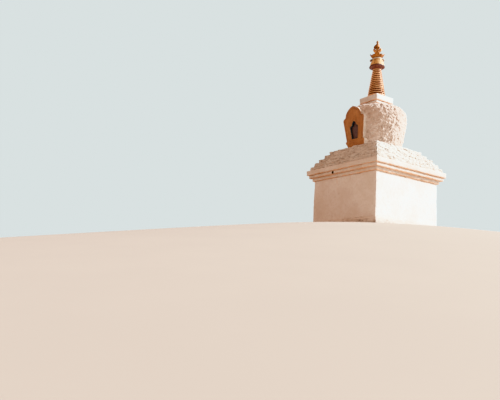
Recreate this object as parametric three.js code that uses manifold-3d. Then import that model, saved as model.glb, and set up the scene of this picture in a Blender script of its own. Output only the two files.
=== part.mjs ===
// A whitewashed Himalayan stupa: square throne, five steps, vase-shaped dome with a niche, square
// harmika, ringed spire and gilded finial. Millimetres, +Z up, origin at the centre of the foot.
// The front, which holds the niche, faces -Y.
import * as THREE from "three";
import Module from "manifold-3d";
import { ConvexGeometry } from "three/addons/geometries/ConvexGeometry.js";
import { mergeVertices } from "three/addons/utils/BufferGeometryUtils.js";

const wasm = await Module();
wasm.setup();

// Driving dimensions
const THRONE_WIDTH = 3500; // over the base course and the cornice fascia
const WALL_WIDTH = 3050;
const BAND_WIDTHS = [3370, 3170]; // the two courses between fascia and wall, outer one first
const FASCIA_HEIGHT = 180;
const BAND_HEIGHT = 110;
const WALL_HEIGHT = 1500;
const STEP_WIDTHS = [3330, 3120, 2890, 2610, 2330];
const STEP_HEIGHT = 150;

const DOME_BASE_RADIUS = 960;
const DOME_BASE_HEIGHT = 80;
const DOME_FOOT_RADIUS = 905;
const DOME_WIDEST_RADIUS = 1087;
const DOME_NECK_RADIUS = 560;
const DOME_BODY_HEIGHT = 1100;
const DOME_SHOULDER_HEIGHT = 440;
const DOME_BODY_POWER = 1.5;
const DOME_SHOULDER_POWER = 2.2;

const HARMIKA_COURSES = [
  ["harmika_lower_course", 700, 105],
  ["harmika_upper_course", 770, 105],
  ["harmika_slab", 856, 220],
];

const SPIRE_BASE_HEIGHT = 120;
const SPIRE_RINGS = 13;
const RING_HEIGHT = 78.5;
const SPIRE_FOOT_RADIUS = 336;
const SPIRE_TAPER = 0.159; // loss of radius for each millimetre of height
const RING_GROOVE = 20; // depth of the groove between two rings

const SEAT_GAP = 0.3; // between a piece and the curved or leaning neighbour that it is cut to fit

// The niche stands on a face that leans outward with the dome; its outlines are half outlines,
// in millimetres right of its centre line and up from the top of its foot block.
const NICHE_LEAN = THREE.MathUtils.degToRad(7);
const NICHE_FACE_Y = -1033; // front face at the top of the foot block
const NICHE_FOOT_HEIGHT = 220;
const NICHE_PLINTH_HEIGHT = 40;
const NICHE_FRONT_THICKNESS = 45;
const NICHE_RIM_WIDTH = 38;
const NICHE_RIM_PROUD = 14;
const NICHE_SURROUND_WIDTH = 44;
const NICHE_SURROUND_PROUD = 9;
const NICHE_FRAME_WIDTH = 30;
const NICHE_FRAME_SET_BACK = 14;
const NICHE_PANEL_DEPTH = 76;
const NICHE_PANEL_THICKNESS = 18;
const NICHE_POCKET_DEPTH = NICHE_PANEL_DEPTH + NICHE_PANEL_THICKNESS + SEAT_GAP;

const ROUND_SIDES = 48;
const RING_SIDES = 28;

// Levels worked out from the driving dimensions
const CORNICE_HEIGHT = FASCIA_HEIGHT + 2 * BAND_HEIGHT;
const THRONE_TOP = 2 * CORNICE_HEIGHT + WALL_HEIGHT;
const STEPS_TOP = THRONE_TOP + STEP_WIDTHS.length * STEP_HEIGHT;
const DOME_FOOT = STEPS_TOP + DOME_BASE_HEIGHT;
const DOME_WIDEST = DOME_FOOT + DOME_BODY_HEIGHT;
const DOME_TOP = DOME_WIDEST + DOME_SHOULDER_HEIGHT;
const HARMIKA_TOP = DOME_TOP + HARMIKA_COURSES.reduce((sum, course) => sum + course[2], 0);
const RINGS_FOOT = HARMIKA_TOP + SPIRE_BASE_HEIGHT;
const RINGS_TOP = RINGS_FOOT + SPIRE_RINGS * RING_HEIGHT;

// Finishes
const FINISHES = {
  plaster: { color: 0xe4dacd, roughness: 0.95, metalness: 0 },
  rubble: { color: 0xd9cdbf, roughness: 1, metalness: 0 },
  ochre: { color: 0xb0692c, roughness: 0.8, metalness: 0 },
  darkPaint: { color: 0x1d2c33, roughness: 0.6, metalness: 0 },
  timber: { color: 0x5e3a2c, roughness: 0.7, metalness: 0 },
  gilt: { color: 0xb9763a, roughness: 0.38, metalness: 0.8 },
  redPaint: { color: 0x7a2a1c, roughness: 0.55, metalness: 0.2 },
  palePaint: { color: 0xcbbba4, roughness: 0.6, metalness: 0.2 },
};
const materials = Object.fromEntries(
  Object.entries(FINISHES).map(([name, look]) => [name, new THREE.MeshStandardMaterial(look)]),
);

// A closed geometry as a manifold-3d solid, with its shared vertices merged.
function solidOf(geometry) {
  const bare = new THREE.BufferGeometry().setAttribute("position", geometry.getAttribute("position"));
  bare.setIndex(geometry.index);
  const merged = mergeVertices(bare, 1e-3);
  const index = merged.index.array;
  const kept = [];
  for (let i = 0; i < index.length; i += 3) {
    const [a, b, c] = [index[i], index[i + 1], index[i + 2]];
    if (a !== b && b !== c && c !== a) kept.push(a, b, c);
  }
  const made = new wasm.Manifold(
    new wasm.Mesh({
      numProp: 3,
      vertProperties: merged.getAttribute("position").array,
      triVerts: new Uint32Array(kept),
    }),
  );
  return made;
}

// A manifold-3d solid as a three.js geometry.
function geometryOf(solid) {
  const mesh = solid.getMesh();
  const geometry = new THREE.BufferGeometry();
  geometry.setAttribute("position", new THREE.BufferAttribute(new Float32Array(mesh.vertProperties), 3));
  geometry.setIndex(new THREE.BufferAttribute(new Uint32Array(mesh.triVerts), 1));
  geometry.computeVertexNormals();
  return geometry;
}

// Moves a geometry; returns it, so that calls can be chained.
function moved(geometry, x, y, z) {
  geometry.translate(x, y, z);
  return geometry;
}

// A solid of revolution about +Z from [radius, height] pairs that run upward; the poles are added.
function turned(outline, sides) {
  const first = outline[0];
  const last = outline[outline.length - 1];
  const profile = [[0, first[1]], ...outline, [0, last[1]]];
  const points = profile.map(([radius, height]) => new THREE.Vector2(radius, height));
  return new THREE.LatheGeometry(points, sides).rotateX(Math.PI / 2);
}

// Options for a plain plate cut from a shape.
function plateOptions(depth, curveSegments = 5) {
  return { depth, bevelEnabled: false, curveSegments };
}

// One named mesh of the model.
function piece(name, geometry, material) {
  const mesh = new THREE.Mesh(geometry, materials[material]);
  mesh.name = name;
  return mesh;
}

// A stack of square courses from [name, width, height] rows; returns their meshes.
function squareCourses(rows, foot, material) {
  let level = foot;
  return rows.map(([name, width, height]) => {
    const block = moved(new THREE.BoxGeometry(width, width, height), 0, 0, level + height / 2);
    level += height;
    return piece(name, block, material);
  });
}

// The square throne: base course, bands, wall, and the same bands and fascia mirrored as a cornice.
function buildThrone() {
  const [outer, inner] = BAND_WIDTHS;
  return squareCourses(
    [
      ["base_course", THRONE_WIDTH, FASCIA_HEIGHT],
      ["base_band_outer", outer, BAND_HEIGHT],
      ["base_band_inner", inner, BAND_HEIGHT],
      ["throne_wall", WALL_WIDTH, WALL_HEIGHT],
      ["cornice_band_inner", inner, BAND_HEIGHT],
      ["cornice_band_outer", outer, BAND_HEIGHT],
      ["cornice_fascia", THRONE_WIDTH, FASCIA_HEIGHT],
    ],
    0,
    "plaster",
  );
}

// The five receding steps between cornice and dome.
function buildSteps() {
  const rows = STEP_WIDTHS.map((width, i) => [`step_${i + 1}`, width, STEP_HEIGHT]);
  return squareCourses(rows, THRONE_TOP, "rubble");
}

// Radius of the dome's body at a share of its height: a power curve that straightens upward.
function domeBodyRadius(share) {
  const flare = DOME_WIDEST_RADIUS - DOME_FOOT_RADIUS;
  return DOME_FOOT_RADIUS + flare * (1 - (1 - share) ** DOME_BODY_POWER);
}

// The dome's outline: flaring body, then a shoulder that follows a quarter of a superellipse.
function domeOutline(offset = 0) {
  const bodyPoints = 8;
  const shoulderPoints = 10;
  const outline = [];
  for (let i = 0; i < bodyPoints; i += 1) {
    const share = i / bodyPoints;
    outline.push([domeBodyRadius(share) + offset, DOME_FOOT + share * DOME_BODY_HEIGHT]);
  }
  const reach = DOME_WIDEST_RADIUS - DOME_NECK_RADIUS;
  for (let i = 0; i <= shoulderPoints; i += 1) {
    const turn = (i / shoulderPoints) * (Math.PI / 2);
    const across = Math.max(0, Math.cos(turn)) ** (2 / DOME_SHOULDER_POWER);
    const up = Math.sin(turn) ** (2 / DOME_SHOULDER_POWER);
    outline.push([DOME_NECK_RADIUS + reach * across + offset, DOME_WIDEST + DOME_SHOULDER_HEIGHT * up]);
  }
  return outline;
}

// The vase-shaped dome, with the niche's pocket cut into it, and the round course that it stands on.
function buildDome() {
  const pocket = leaned(nicheSlab(openingShape(), -100, NICHE_POCKET_DEPTH));
  const base = turned(
    [
      [DOME_BASE_RADIUS, STEPS_TOP],
      [DOME_BASE_RADIUS, DOME_FOOT],
    ],
    ROUND_SIDES,
  );
  return [
    piece("dome_base", base, "plaster"),
    piece("dome", geometryOf(solidOf(turned(domeOutline(), ROUND_SIDES)).subtract(pocket)), "plaster"),
  ];
}

// The gable's outline with shoulders, ogee lobes and a peak, drawn inward by inset.
function gableShape(inset = 0) {
  const half = new THREE.Path();
  half.moveTo(0, inset);
  half.lineTo(394 - inset, inset);
  half.bezierCurveTo(426 - inset, 240, 472 - inset, 520, 506 - inset, 756);
  half.quadraticCurveTo(502 - inset, 812, 452 - inset, 836);
  half.quadraticCurveTo(388 - inset, 850, 372 - inset, 872 - inset * 0.5);
  half.bezierCurveTo(388 - inset, 960, 330 - inset, 1040, 250 - inset * 0.8, 1110 - inset * 0.7);
  half.bezierCurveTo(192 - inset * 0.6, 1166 - inset, 80, 1206 - inset, 0, 1233 - inset * 1.3);
  return mirroredShape(half, 6);
}

// The outline of the masonry behind the gable: the same legs and peak, but a plain round shoulder that
// shows beyond the gable's notches.
function nicheBodyShape() {
  const half = new THREE.Path();
  half.moveTo(0, 10);
  half.lineTo(384, 10);
  half.bezierCurveTo(416, 240, 462, 520, 496, 756);
  half.bezierCurveTo(492, 860, 420, 930, 338, 992);
  half.quadraticCurveTo(300, 1055, 242, 1103);
  half.bezierCurveTo(184, 1156, 76, 1195, 0, 1221);
  return mirroredShape(half, 6);
}

// The opening's outline, drawn inward by inset: jambs that spread upward, round shoulders, an ogee top.
function openingShape(inset = 0) {
  const sill = 36;
  const half = new THREE.Path();
  half.moveTo(0, sill + inset);
  half.lineTo(150 - inset, sill + inset);
  half.lineTo(206 - inset, 440);
  half.quadraticCurveTo(210 - inset, 496 - inset * 0.5, 162 - inset, 518 - inset);
  half.quadraticCurveTo(112 - inset, 526 - inset, 107 - inset, 560 - inset);
  half.bezierCurveTo(108 - inset, 622 - inset, 56 - inset * 0.5, 656 - inset, 0, 692 - inset * 1.3);
  return mirroredShape(half, 5);
}

// A closed shape from its right half, which runs from the centre line at the foot to the peak.
function mirroredShape(half, divisions) {
  const right = half.getPoints(divisions);
  const left = right
    .slice(1, -1)
    .reverse()
    .map((p) => new THREE.Vector2(-p.x, p.y));
  return new THREE.Shape([...right, ...left]);
}

// A slab that fills a niche outline between two depths behind the niche's face; hole is cut through it.
function nicheSlab(shape, near, far, hole = null) {
  const slabOf = (outline, from, to) => {
    const slab = new THREE.ExtrudeGeometry(outline, plateOptions(to - from));
    // The shape's up becomes +Z and the extrusion runs towards +Y, into the dome.
    return solidOf(moved(slab.rotateX(Math.PI / 2), 0, to, 0));
  };
  const whole = slabOf(shape, near, far);
  return hole ? whole.subtract(slabOf(hole, near - 1, far + 1)) : whole;
}

// Turns a solid from the niche's own upright frame to its leaning place on the dome.
function leaned(solid) {
  const place = new THREE.Matrix4()
    .makeTranslation(0, NICHE_FACE_Y, STEPS_TOP + NICHE_PLINTH_HEIGHT + NICHE_FOOT_HEIGHT)
    .multiply(new THREE.Matrix4().makeRotationX(NICHE_LEAN));
  return solid.transform(place.elements);
}

// A block with vertical head and a foot that draws in on three sides, for the niche to stand on.
function nicheFootBlock(top, foot, back) {
  const head = 60;
  const [topHalf, footHalf] = [445, 385];
  const [topY, footY] = [NICHE_FACE_Y - 10, NICHE_FACE_Y + 50];
  const corners = [];
  for (const side of [-1, 1]) {
    for (const level of [top, top - head]) {
      corners.push(new THREE.Vector3(side * topHalf, topY, level));
      corners.push(new THREE.Vector3(side * topHalf, back, level));
    }
    corners.push(new THREE.Vector3(side * footHalf, footY, foot));
    corners.push(new THREE.Vector3(side * footHalf, back, foot));
  }
  return solidOf(new ConvexGeometry(corners));
}

// The niche: plinth, foot block, masonry body, ochre front, dark frame and timber panel.
function buildNiche() {
  const plinthTop = STEPS_TOP + NICHE_PLINTH_HEIGHT;
  const footTop = plinthTop + NICHE_FOOT_HEIGHT;
  const domeKeepOut = solidOf(turned(domeOutline(SEAT_GAP), ROUND_SIDES)).add(
    solidOf(
      turned(
        [
          [DOME_BASE_RADIUS + SEAT_GAP, STEPS_TOP - 1],
          [DOME_BASE_RADIUS + SEAT_GAP, DOME_FOOT + 1],
        ],
        ROUND_SIDES,
      ),
    ),
  );

  const insideDome = -700;
  const plinthFront = NICHE_FACE_Y + 30;
  const plinth = solidOf(
    moved(
      new THREE.BoxGeometry(800, insideDome - plinthFront, NICHE_PLINTH_HEIGHT),
      0,
      (insideDome + plinthFront) / 2,
      STEPS_TOP + NICHE_PLINTH_HEIGHT / 2,
    ),
  ).subtract(domeKeepOut);

  const foot = nicheFootBlock(footTop - SEAT_GAP, plinthTop, insideDome).subtract(domeKeepOut);

  const rim = nicheSlab(gableShape(), -NICHE_RIM_PROUD, 1, gableShape(NICHE_RIM_WIDTH));
  const surround = nicheSlab(
    openingShape(-NICHE_SURROUND_WIDTH),
    -NICHE_SURROUND_PROUD,
    1,
    openingShape(),
  );
  const front = nicheSlab(gableShape(), 0, NICHE_FRONT_THICKNESS, openingShape()).add(rim).add(surround);

  const bodyBack = 420;
  const bodyFront = NICHE_FRONT_THICKNESS + SEAT_GAP;
  const footClearance = solidOf(
    moved(new THREE.BoxGeometry(1200, 1000, 400), 0, NICHE_FACE_Y, footTop - 200),
  );
  const body = leaned(
    nicheSlab(nicheBodyShape(), bodyFront, NICHE_POCKET_DEPTH, openingShape()).add(
      nicheSlab(nicheBodyShape(), NICHE_POCKET_DEPTH, bodyBack),
    ),
  )
    .subtract(domeKeepOut)
    .subtract(footClearance);

  const frame = nicheSlab(
    openingShape(SEAT_GAP),
    NICHE_FRAME_SET_BACK,
    NICHE_PANEL_DEPTH - SEAT_GAP,
    openingShape(NICHE_FRAME_WIDTH),
  );
  const panel = nicheSlab(
    openingShape(SEAT_GAP),
    NICHE_PANEL_DEPTH,
    NICHE_PANEL_DEPTH + NICHE_PANEL_THICKNESS,
  );

  return [
    piece("niche_plinth", geometryOf(plinth), "plaster"),
    piece("niche_foot", geometryOf(foot), "ochre"),
    piece("niche_body", geometryOf(largest(body)), "plaster"),
    piece("niche_front", geometryOf(leaned(front).subtract(footClearance)), "ochre"),
    piece("niche_frame", geometryOf(leaned(frame)), "darkPaint"),
    piece("niche_panel", geometryOf(leaned(panel)), "timber"),
  ];
}

// The largest of a solid's separate bodies, which drops slivers that a cut leaves.
function largest(solid) {
  return solid.decompose().sort((a, b) => b.volume() - a.volume())[0];
}

// The square harmika on the dome: two corbelled courses and a thick slab.
function buildHarmika() {
  return squareCourses(HARMIKA_COURSES, DOME_TOP, "plaster");
}

// Outer radius of the spire at a height.
function spireRadius(level) {
  return SPIRE_FOOT_RADIUS - SPIRE_TAPER * (level - HARMIKA_TOP);
}

// A ring's outline: groove, half-round edge, groove.
function ringOutline(foot, height, groove, taper = SPIRE_TAPER) {
  const edgePoints = 4;
  const outline = [];
  for (let i = 0; i <= edgePoints; i += 1) {
    const turn = -Math.PI / 2 + (i / edgePoints) * Math.PI;
    const level = foot + height * (0.5 + 0.5 * Math.sin(turn));
    outline.push([spireRadius(foot) - taper * (level - foot) - groove * (1 - Math.cos(turn)), level]);
  }
  return outline;
}

// The base roll and the thirteen rings of the spire.
function buildSpire() {
  const base = turned(ringOutline(HARMIKA_TOP, SPIRE_BASE_HEIGHT, 16), RING_SIDES);
  const meshes = [piece("spire_base", base, "gilt")];
  for (let i = 0; i < SPIRE_RINGS; i += 1) {
    const ring = turned(ringOutline(RINGS_FOOT + i * RING_HEIGHT, RING_HEIGHT, RING_GROOVE), RING_SIDES);
    meshes.push(piece(`spire_ring_${String(i + 1).padStart(2, "0")}`, ring, "gilt"));
  }
  return meshes;
}

// Parasol: a flaring red-bellied disc, its gilded drum, and a pale collar with two ear ornaments.
// The ears and the crescent share one upright plane, turned away from the front about +Z.
const FINIAL_TURN = 45; // degrees
const EAR_THICKNESS = 40;
const PARASOL_RADIUS = 286;
const PARASOL_TOP = RINGS_TOP + 135;
const DRUM_TOP = RINGS_TOP + 383;
const COLLAR_TOP = DRUM_TOP + 67;

function buildParasol() {
  const disc = turned(
    [
      [146, RINGS_TOP],
      [164, RINGS_TOP + 26],
      [208, RINGS_TOP + 60],
      [280, RINGS_TOP + 88],
      [PARASOL_RADIUS, RINGS_TOP + 97],
      [280, RINGS_TOP + 110],
      [266, PARASOL_TOP],
    ],
    RING_SIDES,
  );
  const drum = turned(
    [
      [262, PARASOL_TOP],
      [250, PARASOL_TOP + 44],
      [229, PARASOL_TOP + 122],
      [203, PARASOL_TOP + 192],
      [172, DRUM_TOP],
    ],
    RING_SIDES,
  );
  const collarRing = turned(
    [
      [158, DRUM_TOP],
      [172, DRUM_TOP + 12],
      [176, DRUM_TOP + 31],
      [168, DRUM_TOP + 50],
      [150, COLLAR_TOP],
    ],
    RING_SIDES,
  );
  let collar = solidOf(collarRing);
  for (const turn of [0, 180]) {
    collar = collar.add(earOrnament().rotate([0, 0, FINIAL_TURN + turn]));
  }
  return [
    piece("parasol_disc", disc, "redPaint"),
    piece("parasol_drum", drum, "gilt"),
    piece("parasol_collar", geometryOf(collar), "palePaint"),
  ];
}

// An ear-shaped scroll plate that stands out along +X from the collar and hangs down over the drum.
function earOrnament() {
  const level = COLLAR_TOP - 10;
  const ear = new THREE.Shape();
  ear.moveTo(130, -44);
  ear.lineTo(130, -8);
  ear.bezierCurveTo(172, 4, 210, 12, 238, -14);
  ear.bezierCurveTo(250, -34, 268, -44, 278, -64);
  ear.bezierCurveTo(288, -98, 262, -130, 236, -120);
  ear.bezierCurveTo(216, -112, 212, -94, 214, -78);
  ear.bezierCurveTo(210, -58, 184, -44, 130, -44);
  const plate = new THREE.ExtrudeGeometry(ear, plateOptions(EAR_THICKNESS));
  return solidOf(moved(plate.rotateX(Math.PI / 2), 0, EAR_THICKNESS / 2, level));
}

// Finial: lotus crown, vase neck, crescent, sun disc and flame jewel.
const LOTUS_PETALS = 4; // large ones, with a small one between each two
const LOTUS_RADIUS = 240;
const LOTUS_FLOOR = COLLAR_TOP + 108;
const LOTUS_TOP = COLLAR_TOP + 140;
const NECK_TOP = COLLAR_TOP + 205;
const NECK_TOP_RADIUS = 84;
const CRESCENT_RADIUS = 160;
const CRESCENT_INNER_RADIUS = 92;
const CRESCENT_DEPTH = 120; // at its middle, from outer to inner edge
const CRESCENT_HORN = 40; // height of the blunt horns above the centre of the outer edge
const CRESCENT_THICKNESS = 50;
const SUN_RADIUS = 50;
const SUN_THICKNESS = 40;
const JEWEL_FOOT = NECK_TOP + CRESCENT_DEPTH + 2 * SUN_RADIUS;
const JEWEL_HEIGHT = 288;
const JEWEL_TONGUE_THICKNESS = 22;
// The jewel's flames, which sway to one side: each one's turn in degrees, its reach, and its tip's
// radius and height above the jewel's foot
const JEWEL_TONGUES = [
  [45, 88, 36, 118],
  [135, 112, 36, 146],
  [225, 136, 38, 172],
  [315, 112, 36, 146],
];

// A cup of upturned petals: a turned bowl whose rim is drawn out and up to a point at each large
// petal, and to a lower one at each small petal between them.
function lotusCup() {
  const floorRadius = 148; // flat inside this radius, where the neck stands
  const bowl = turned(
    [
      [140, COLLAR_TOP],
      [152, COLLAR_TOP + 18],
      [178, COLLAR_TOP + 48],
      [216, COLLAR_TOP + 98],
      [LOTUS_RADIUS, LOTUS_TOP],
      [216, LOTUS_TOP + 2],
      [180, LOTUS_FLOOR + 10],
      [floorRadius, LOTUS_FLOOR],
    ],
    12 * LOTUS_PETALS,
  );
  const points = bowl.getAttribute("position");
  for (let i = 0; i < points.count; i += 1) {
    const [x, y, z] = [points.getX(i), points.getY(i), points.getZ(i)];
    const share = THREE.MathUtils.smoothstep(Math.hypot(x, y), floorRadius, LOTUS_RADIUS);
    const wave = Math.cos(Math.atan2(y, x) * LOTUS_PETALS);
    const large = Math.max(0, -wave) ** 1.3;
    const small = Math.max(0, wave);
    const reach = 1 + share * (0.17 * large + 0.04 * small - 0.06);
    points.setXYZ(i, x * reach, y * reach, z + share * (60 * large + 12 * small - 28));
  }
  return bowl;
}

// The crescent: a thick disc less a smaller one that is set higher, with its horns cut off blunt.
function crescentSolid() {
  const level = NECK_TOP + CRESCENT_RADIUS;
  const hollowLevel = NECK_TOP + CRESCENT_DEPTH + CRESCENT_INNER_RADIUS;
  const cutThickness = 2 * CRESCENT_THICKNESS;
  const disc = new THREE.CylinderGeometry(CRESCENT_RADIUS, CRESCENT_RADIUS, CRESCENT_THICKNESS, ROUND_SIDES);
  const hollow = new THREE.CylinderGeometry(
    CRESCENT_INNER_RADIUS,
    CRESCENT_INNER_RADIUS,
    cutThickness,
    ROUND_SIDES,
  );
  const above = new THREE.BoxGeometry(3 * CRESCENT_RADIUS, cutThickness, CRESCENT_RADIUS);
  const crescent = solidOf(moved(disc, 0, 0, level))
    .subtract(solidOf(moved(hollow, 0, 0, hollowLevel)))
    .subtract(solidOf(moved(above, 0, 0, level + CRESCENT_HORN + CRESCENT_RADIUS / 2)));
  // A flat foot under the moon, which stands on the neck's top
  const foot = new THREE.BoxGeometry(100, CRESCENT_THICKNESS - 8, 30);
  return crescent.add(solidOf(moved(foot, 0, 0, NECK_TOP + 15))).rotate([0, 0, FINIAL_TURN]);
}

// The flame jewel: a turned drop with a small knob on top and flame tongues round it.
function jewelSolid() {
  const drop = turned(
    [
      [34, JEWEL_FOOT],
      [64, JEWEL_FOOT + 12],
      [76, JEWEL_FOOT + 34],
      [77, JEWEL_FOOT + 58],
      [69, JEWEL_FOOT + 86],
      [53, JEWEL_FOOT + 116],
      [40, JEWEL_FOOT + 148],
      [30, JEWEL_FOOT + 184],
      [35, JEWEL_FOOT + 212],
      [33, JEWEL_FOOT + 244],
      [20, JEWEL_FOOT + 272],
      [5, JEWEL_FOOT + JEWEL_HEIGHT],
    ],
    24,
  );
  let jewel = solidOf(drop);
  for (const [turn, reach, tipRadius, tipHeight] of JEWEL_TONGUES) {
    const tongue = new THREE.Shape();
    tongue.moveTo(20, 6);
    tongue.bezierCurveTo(60, -8, reach, -12, reach, 16);
    tongue.bezierCurveTo(0.97 * reach, 0.32 * tipHeight, 0.62 * reach, 0.7 * tipHeight, tipRadius, tipHeight);
    tongue.lineTo(20, 0.6 * tipHeight);
    const flame = new THREE.ExtrudeGeometry(tongue, plateOptions(JEWEL_TONGUE_THICKNESS));
    const placed = solidOf(moved(flame.rotateX(Math.PI / 2), 0, JEWEL_TONGUE_THICKNESS / 2, JEWEL_FOOT));
    jewel = jewel.add(placed.rotate([0, 0, turn]));
  }
  return jewel;
}

// The sun: an upright disc that stands on the crescent's inner edge and carries the jewel on a flat.
function sunSolid(crescent) {
  const level = JEWEL_FOOT - SUN_RADIUS;
  const disc = new THREE.CylinderGeometry(SUN_RADIUS, SUN_RADIUS, SUN_THICKNESS, 32);
  const head = new THREE.BoxGeometry(56, SUN_THICKNESS, 24);
  const foot = new THREE.BoxGeometry(44, SUN_THICKNESS - 8, 40);
  return solidOf(moved(disc, 0, 0, level))
    .add(solidOf(moved(head, 0, 0, JEWEL_FOOT - 12)))
    .add(solidOf(moved(foot, 0, 0, level - SUN_RADIUS + 10)))
    .rotate([0, 0, FINIAL_TURN])
    .subtract(crescent.translate([0, 0, SEAT_GAP]))
    .subtract(crescent);
}

// The upper finial: lotus cup, neck, crescent, sun and jewel, each standing on the one below.
function buildFinial() {
  const neck = turned(
    [
      [108, LOTUS_FLOOR],
      [120, LOTUS_FLOOR + 20],
      [126, LOTUS_FLOOR + 46],
      [116, LOTUS_FLOOR + 74],
      [98, NECK_TOP - 8],
      [NECK_TOP_RADIUS, NECK_TOP],
    ],
    RING_SIDES,
  );
  const crescent = crescentSolid();
  return [
    piece("lotus_crown", geometryOf(solidOf(lotusCup())), "gilt"),
    piece("finial_neck", neck, "gilt"),
    piece("crescent_moon", geometryOf(crescent), "gilt"),
    piece("sun_disc", geometryOf(largest(sunSolid(crescent))), "gilt"),
    piece("flame_jewel", geometryOf(jewelSolid()), "gilt"),
  ];
}

const stupa = new THREE.Group();
stupa.add(...buildThrone(), ...buildSteps(), ...buildDome(), ...buildNiche(), ...buildHarmika());
stupa.add(...buildSpire(), ...buildParasol(), ...buildFinial());

export default stupa;
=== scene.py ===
"""A whitewashed stupa: rough limewash over masonry, an ochre niche and a worn gilded spire.

Metres, +Z up, origin at the centre of the foot, niche towards -Y. Every piece is a surface worked out with
numpy: rings of points that run around the piece and are stacked along it. Most are pushed in and out by a
relief.
"""

import logging
import math
from dataclasses import dataclass
from enum import Enum

import bpy
import numpy as np
from mathutils import Matrix, Vector


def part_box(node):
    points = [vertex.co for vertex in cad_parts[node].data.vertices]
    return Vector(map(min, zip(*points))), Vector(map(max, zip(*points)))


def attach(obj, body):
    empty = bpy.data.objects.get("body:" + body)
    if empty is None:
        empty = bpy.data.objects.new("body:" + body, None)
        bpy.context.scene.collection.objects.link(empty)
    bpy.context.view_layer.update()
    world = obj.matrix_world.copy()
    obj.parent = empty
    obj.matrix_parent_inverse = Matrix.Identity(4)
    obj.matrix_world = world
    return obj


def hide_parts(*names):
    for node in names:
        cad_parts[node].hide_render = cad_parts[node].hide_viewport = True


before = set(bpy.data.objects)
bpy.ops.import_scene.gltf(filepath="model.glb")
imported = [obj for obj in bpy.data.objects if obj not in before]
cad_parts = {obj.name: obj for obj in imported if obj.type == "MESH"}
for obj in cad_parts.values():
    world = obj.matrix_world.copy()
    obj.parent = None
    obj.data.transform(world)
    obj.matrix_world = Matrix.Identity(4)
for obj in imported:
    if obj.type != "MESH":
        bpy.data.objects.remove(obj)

LOG = logging.getLogger("stupa")
BODY = "root"
POLE = 0.03  # radius of the last ring before the pole of a piece of sheet metal
SINK = 0.012  # how far a piece's foot goes into what it stands on
EDGE_WIDTH = 0.03  # how far from an edge its wear fades
FINIAL_TURN = math.radians(45.0)  # the plane of the ears and the crescent, about +Z
UP = np.array([0.0, 0.0, 1.0])
CORNER_TURN = np.radians([22.5, 45.0, 67.5])  # the points of a rounded corner between its ends
SCATTER_X, SCATTER_Y, SCATTER_Z = 374761393, 668265263, 1440662683  # odd numbers that mix up bits
SCATTER_SEED, SCATTER_BITS = 974634777, 1274126177
BITS_32, BITS_24 = 0xFFFFFFFF, 0xFFFFFF
FAR = 9.0  # in lattice cells: further than any seed

Array = np.ndarray
Rings = np.ndarray  # rings, points around each ring, x y z
Pair = tuple[float, float]
Triple = tuple[float, float, float]
Colour = tuple[float, float, float]
Socket = bpy.types.NodeSocket
Material = bpy.types.Material


class Slot(str, Enum):
    """The record's material slots."""

    PLASTER = "whitewashed_plaster"
    RUBBLE = "whitewashed_rubble"
    OCHRE = "ochre_plaster"
    DARK = "dark_painted_timber"
    TIMBER = "brown_timber"
    GILT = "gilded_copper"
    RED = "red_painted_metal"
    PALE = "pale_painted_metal"


def held(value: Array) -> Array:
    """Holds numbers between 0 and 1."""
    return np.clip(value, 0.0, 1.0)


def smoothstep(low: float, high: float, value: Array) -> Array:
    """Rises smoothly from 0 at low to 1 at high: 3 t squared less 2 t cubed.

    Args:
        low: where the rise starts.
        high: where it ends.
        value: the numbers to map.

    Returns:
        The mapped numbers.
    """
    share = held((value - low) / (high - low))
    return share * share * (3.0 - 2.0 * share)


def bell(value: Array, middle: float | Array, width: float) -> Array:
    """Gives a hump of height 1: e to minus the square of the distance from the middle over the width."""
    return np.exp(-(((value - middle) / width) ** 2))


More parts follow.
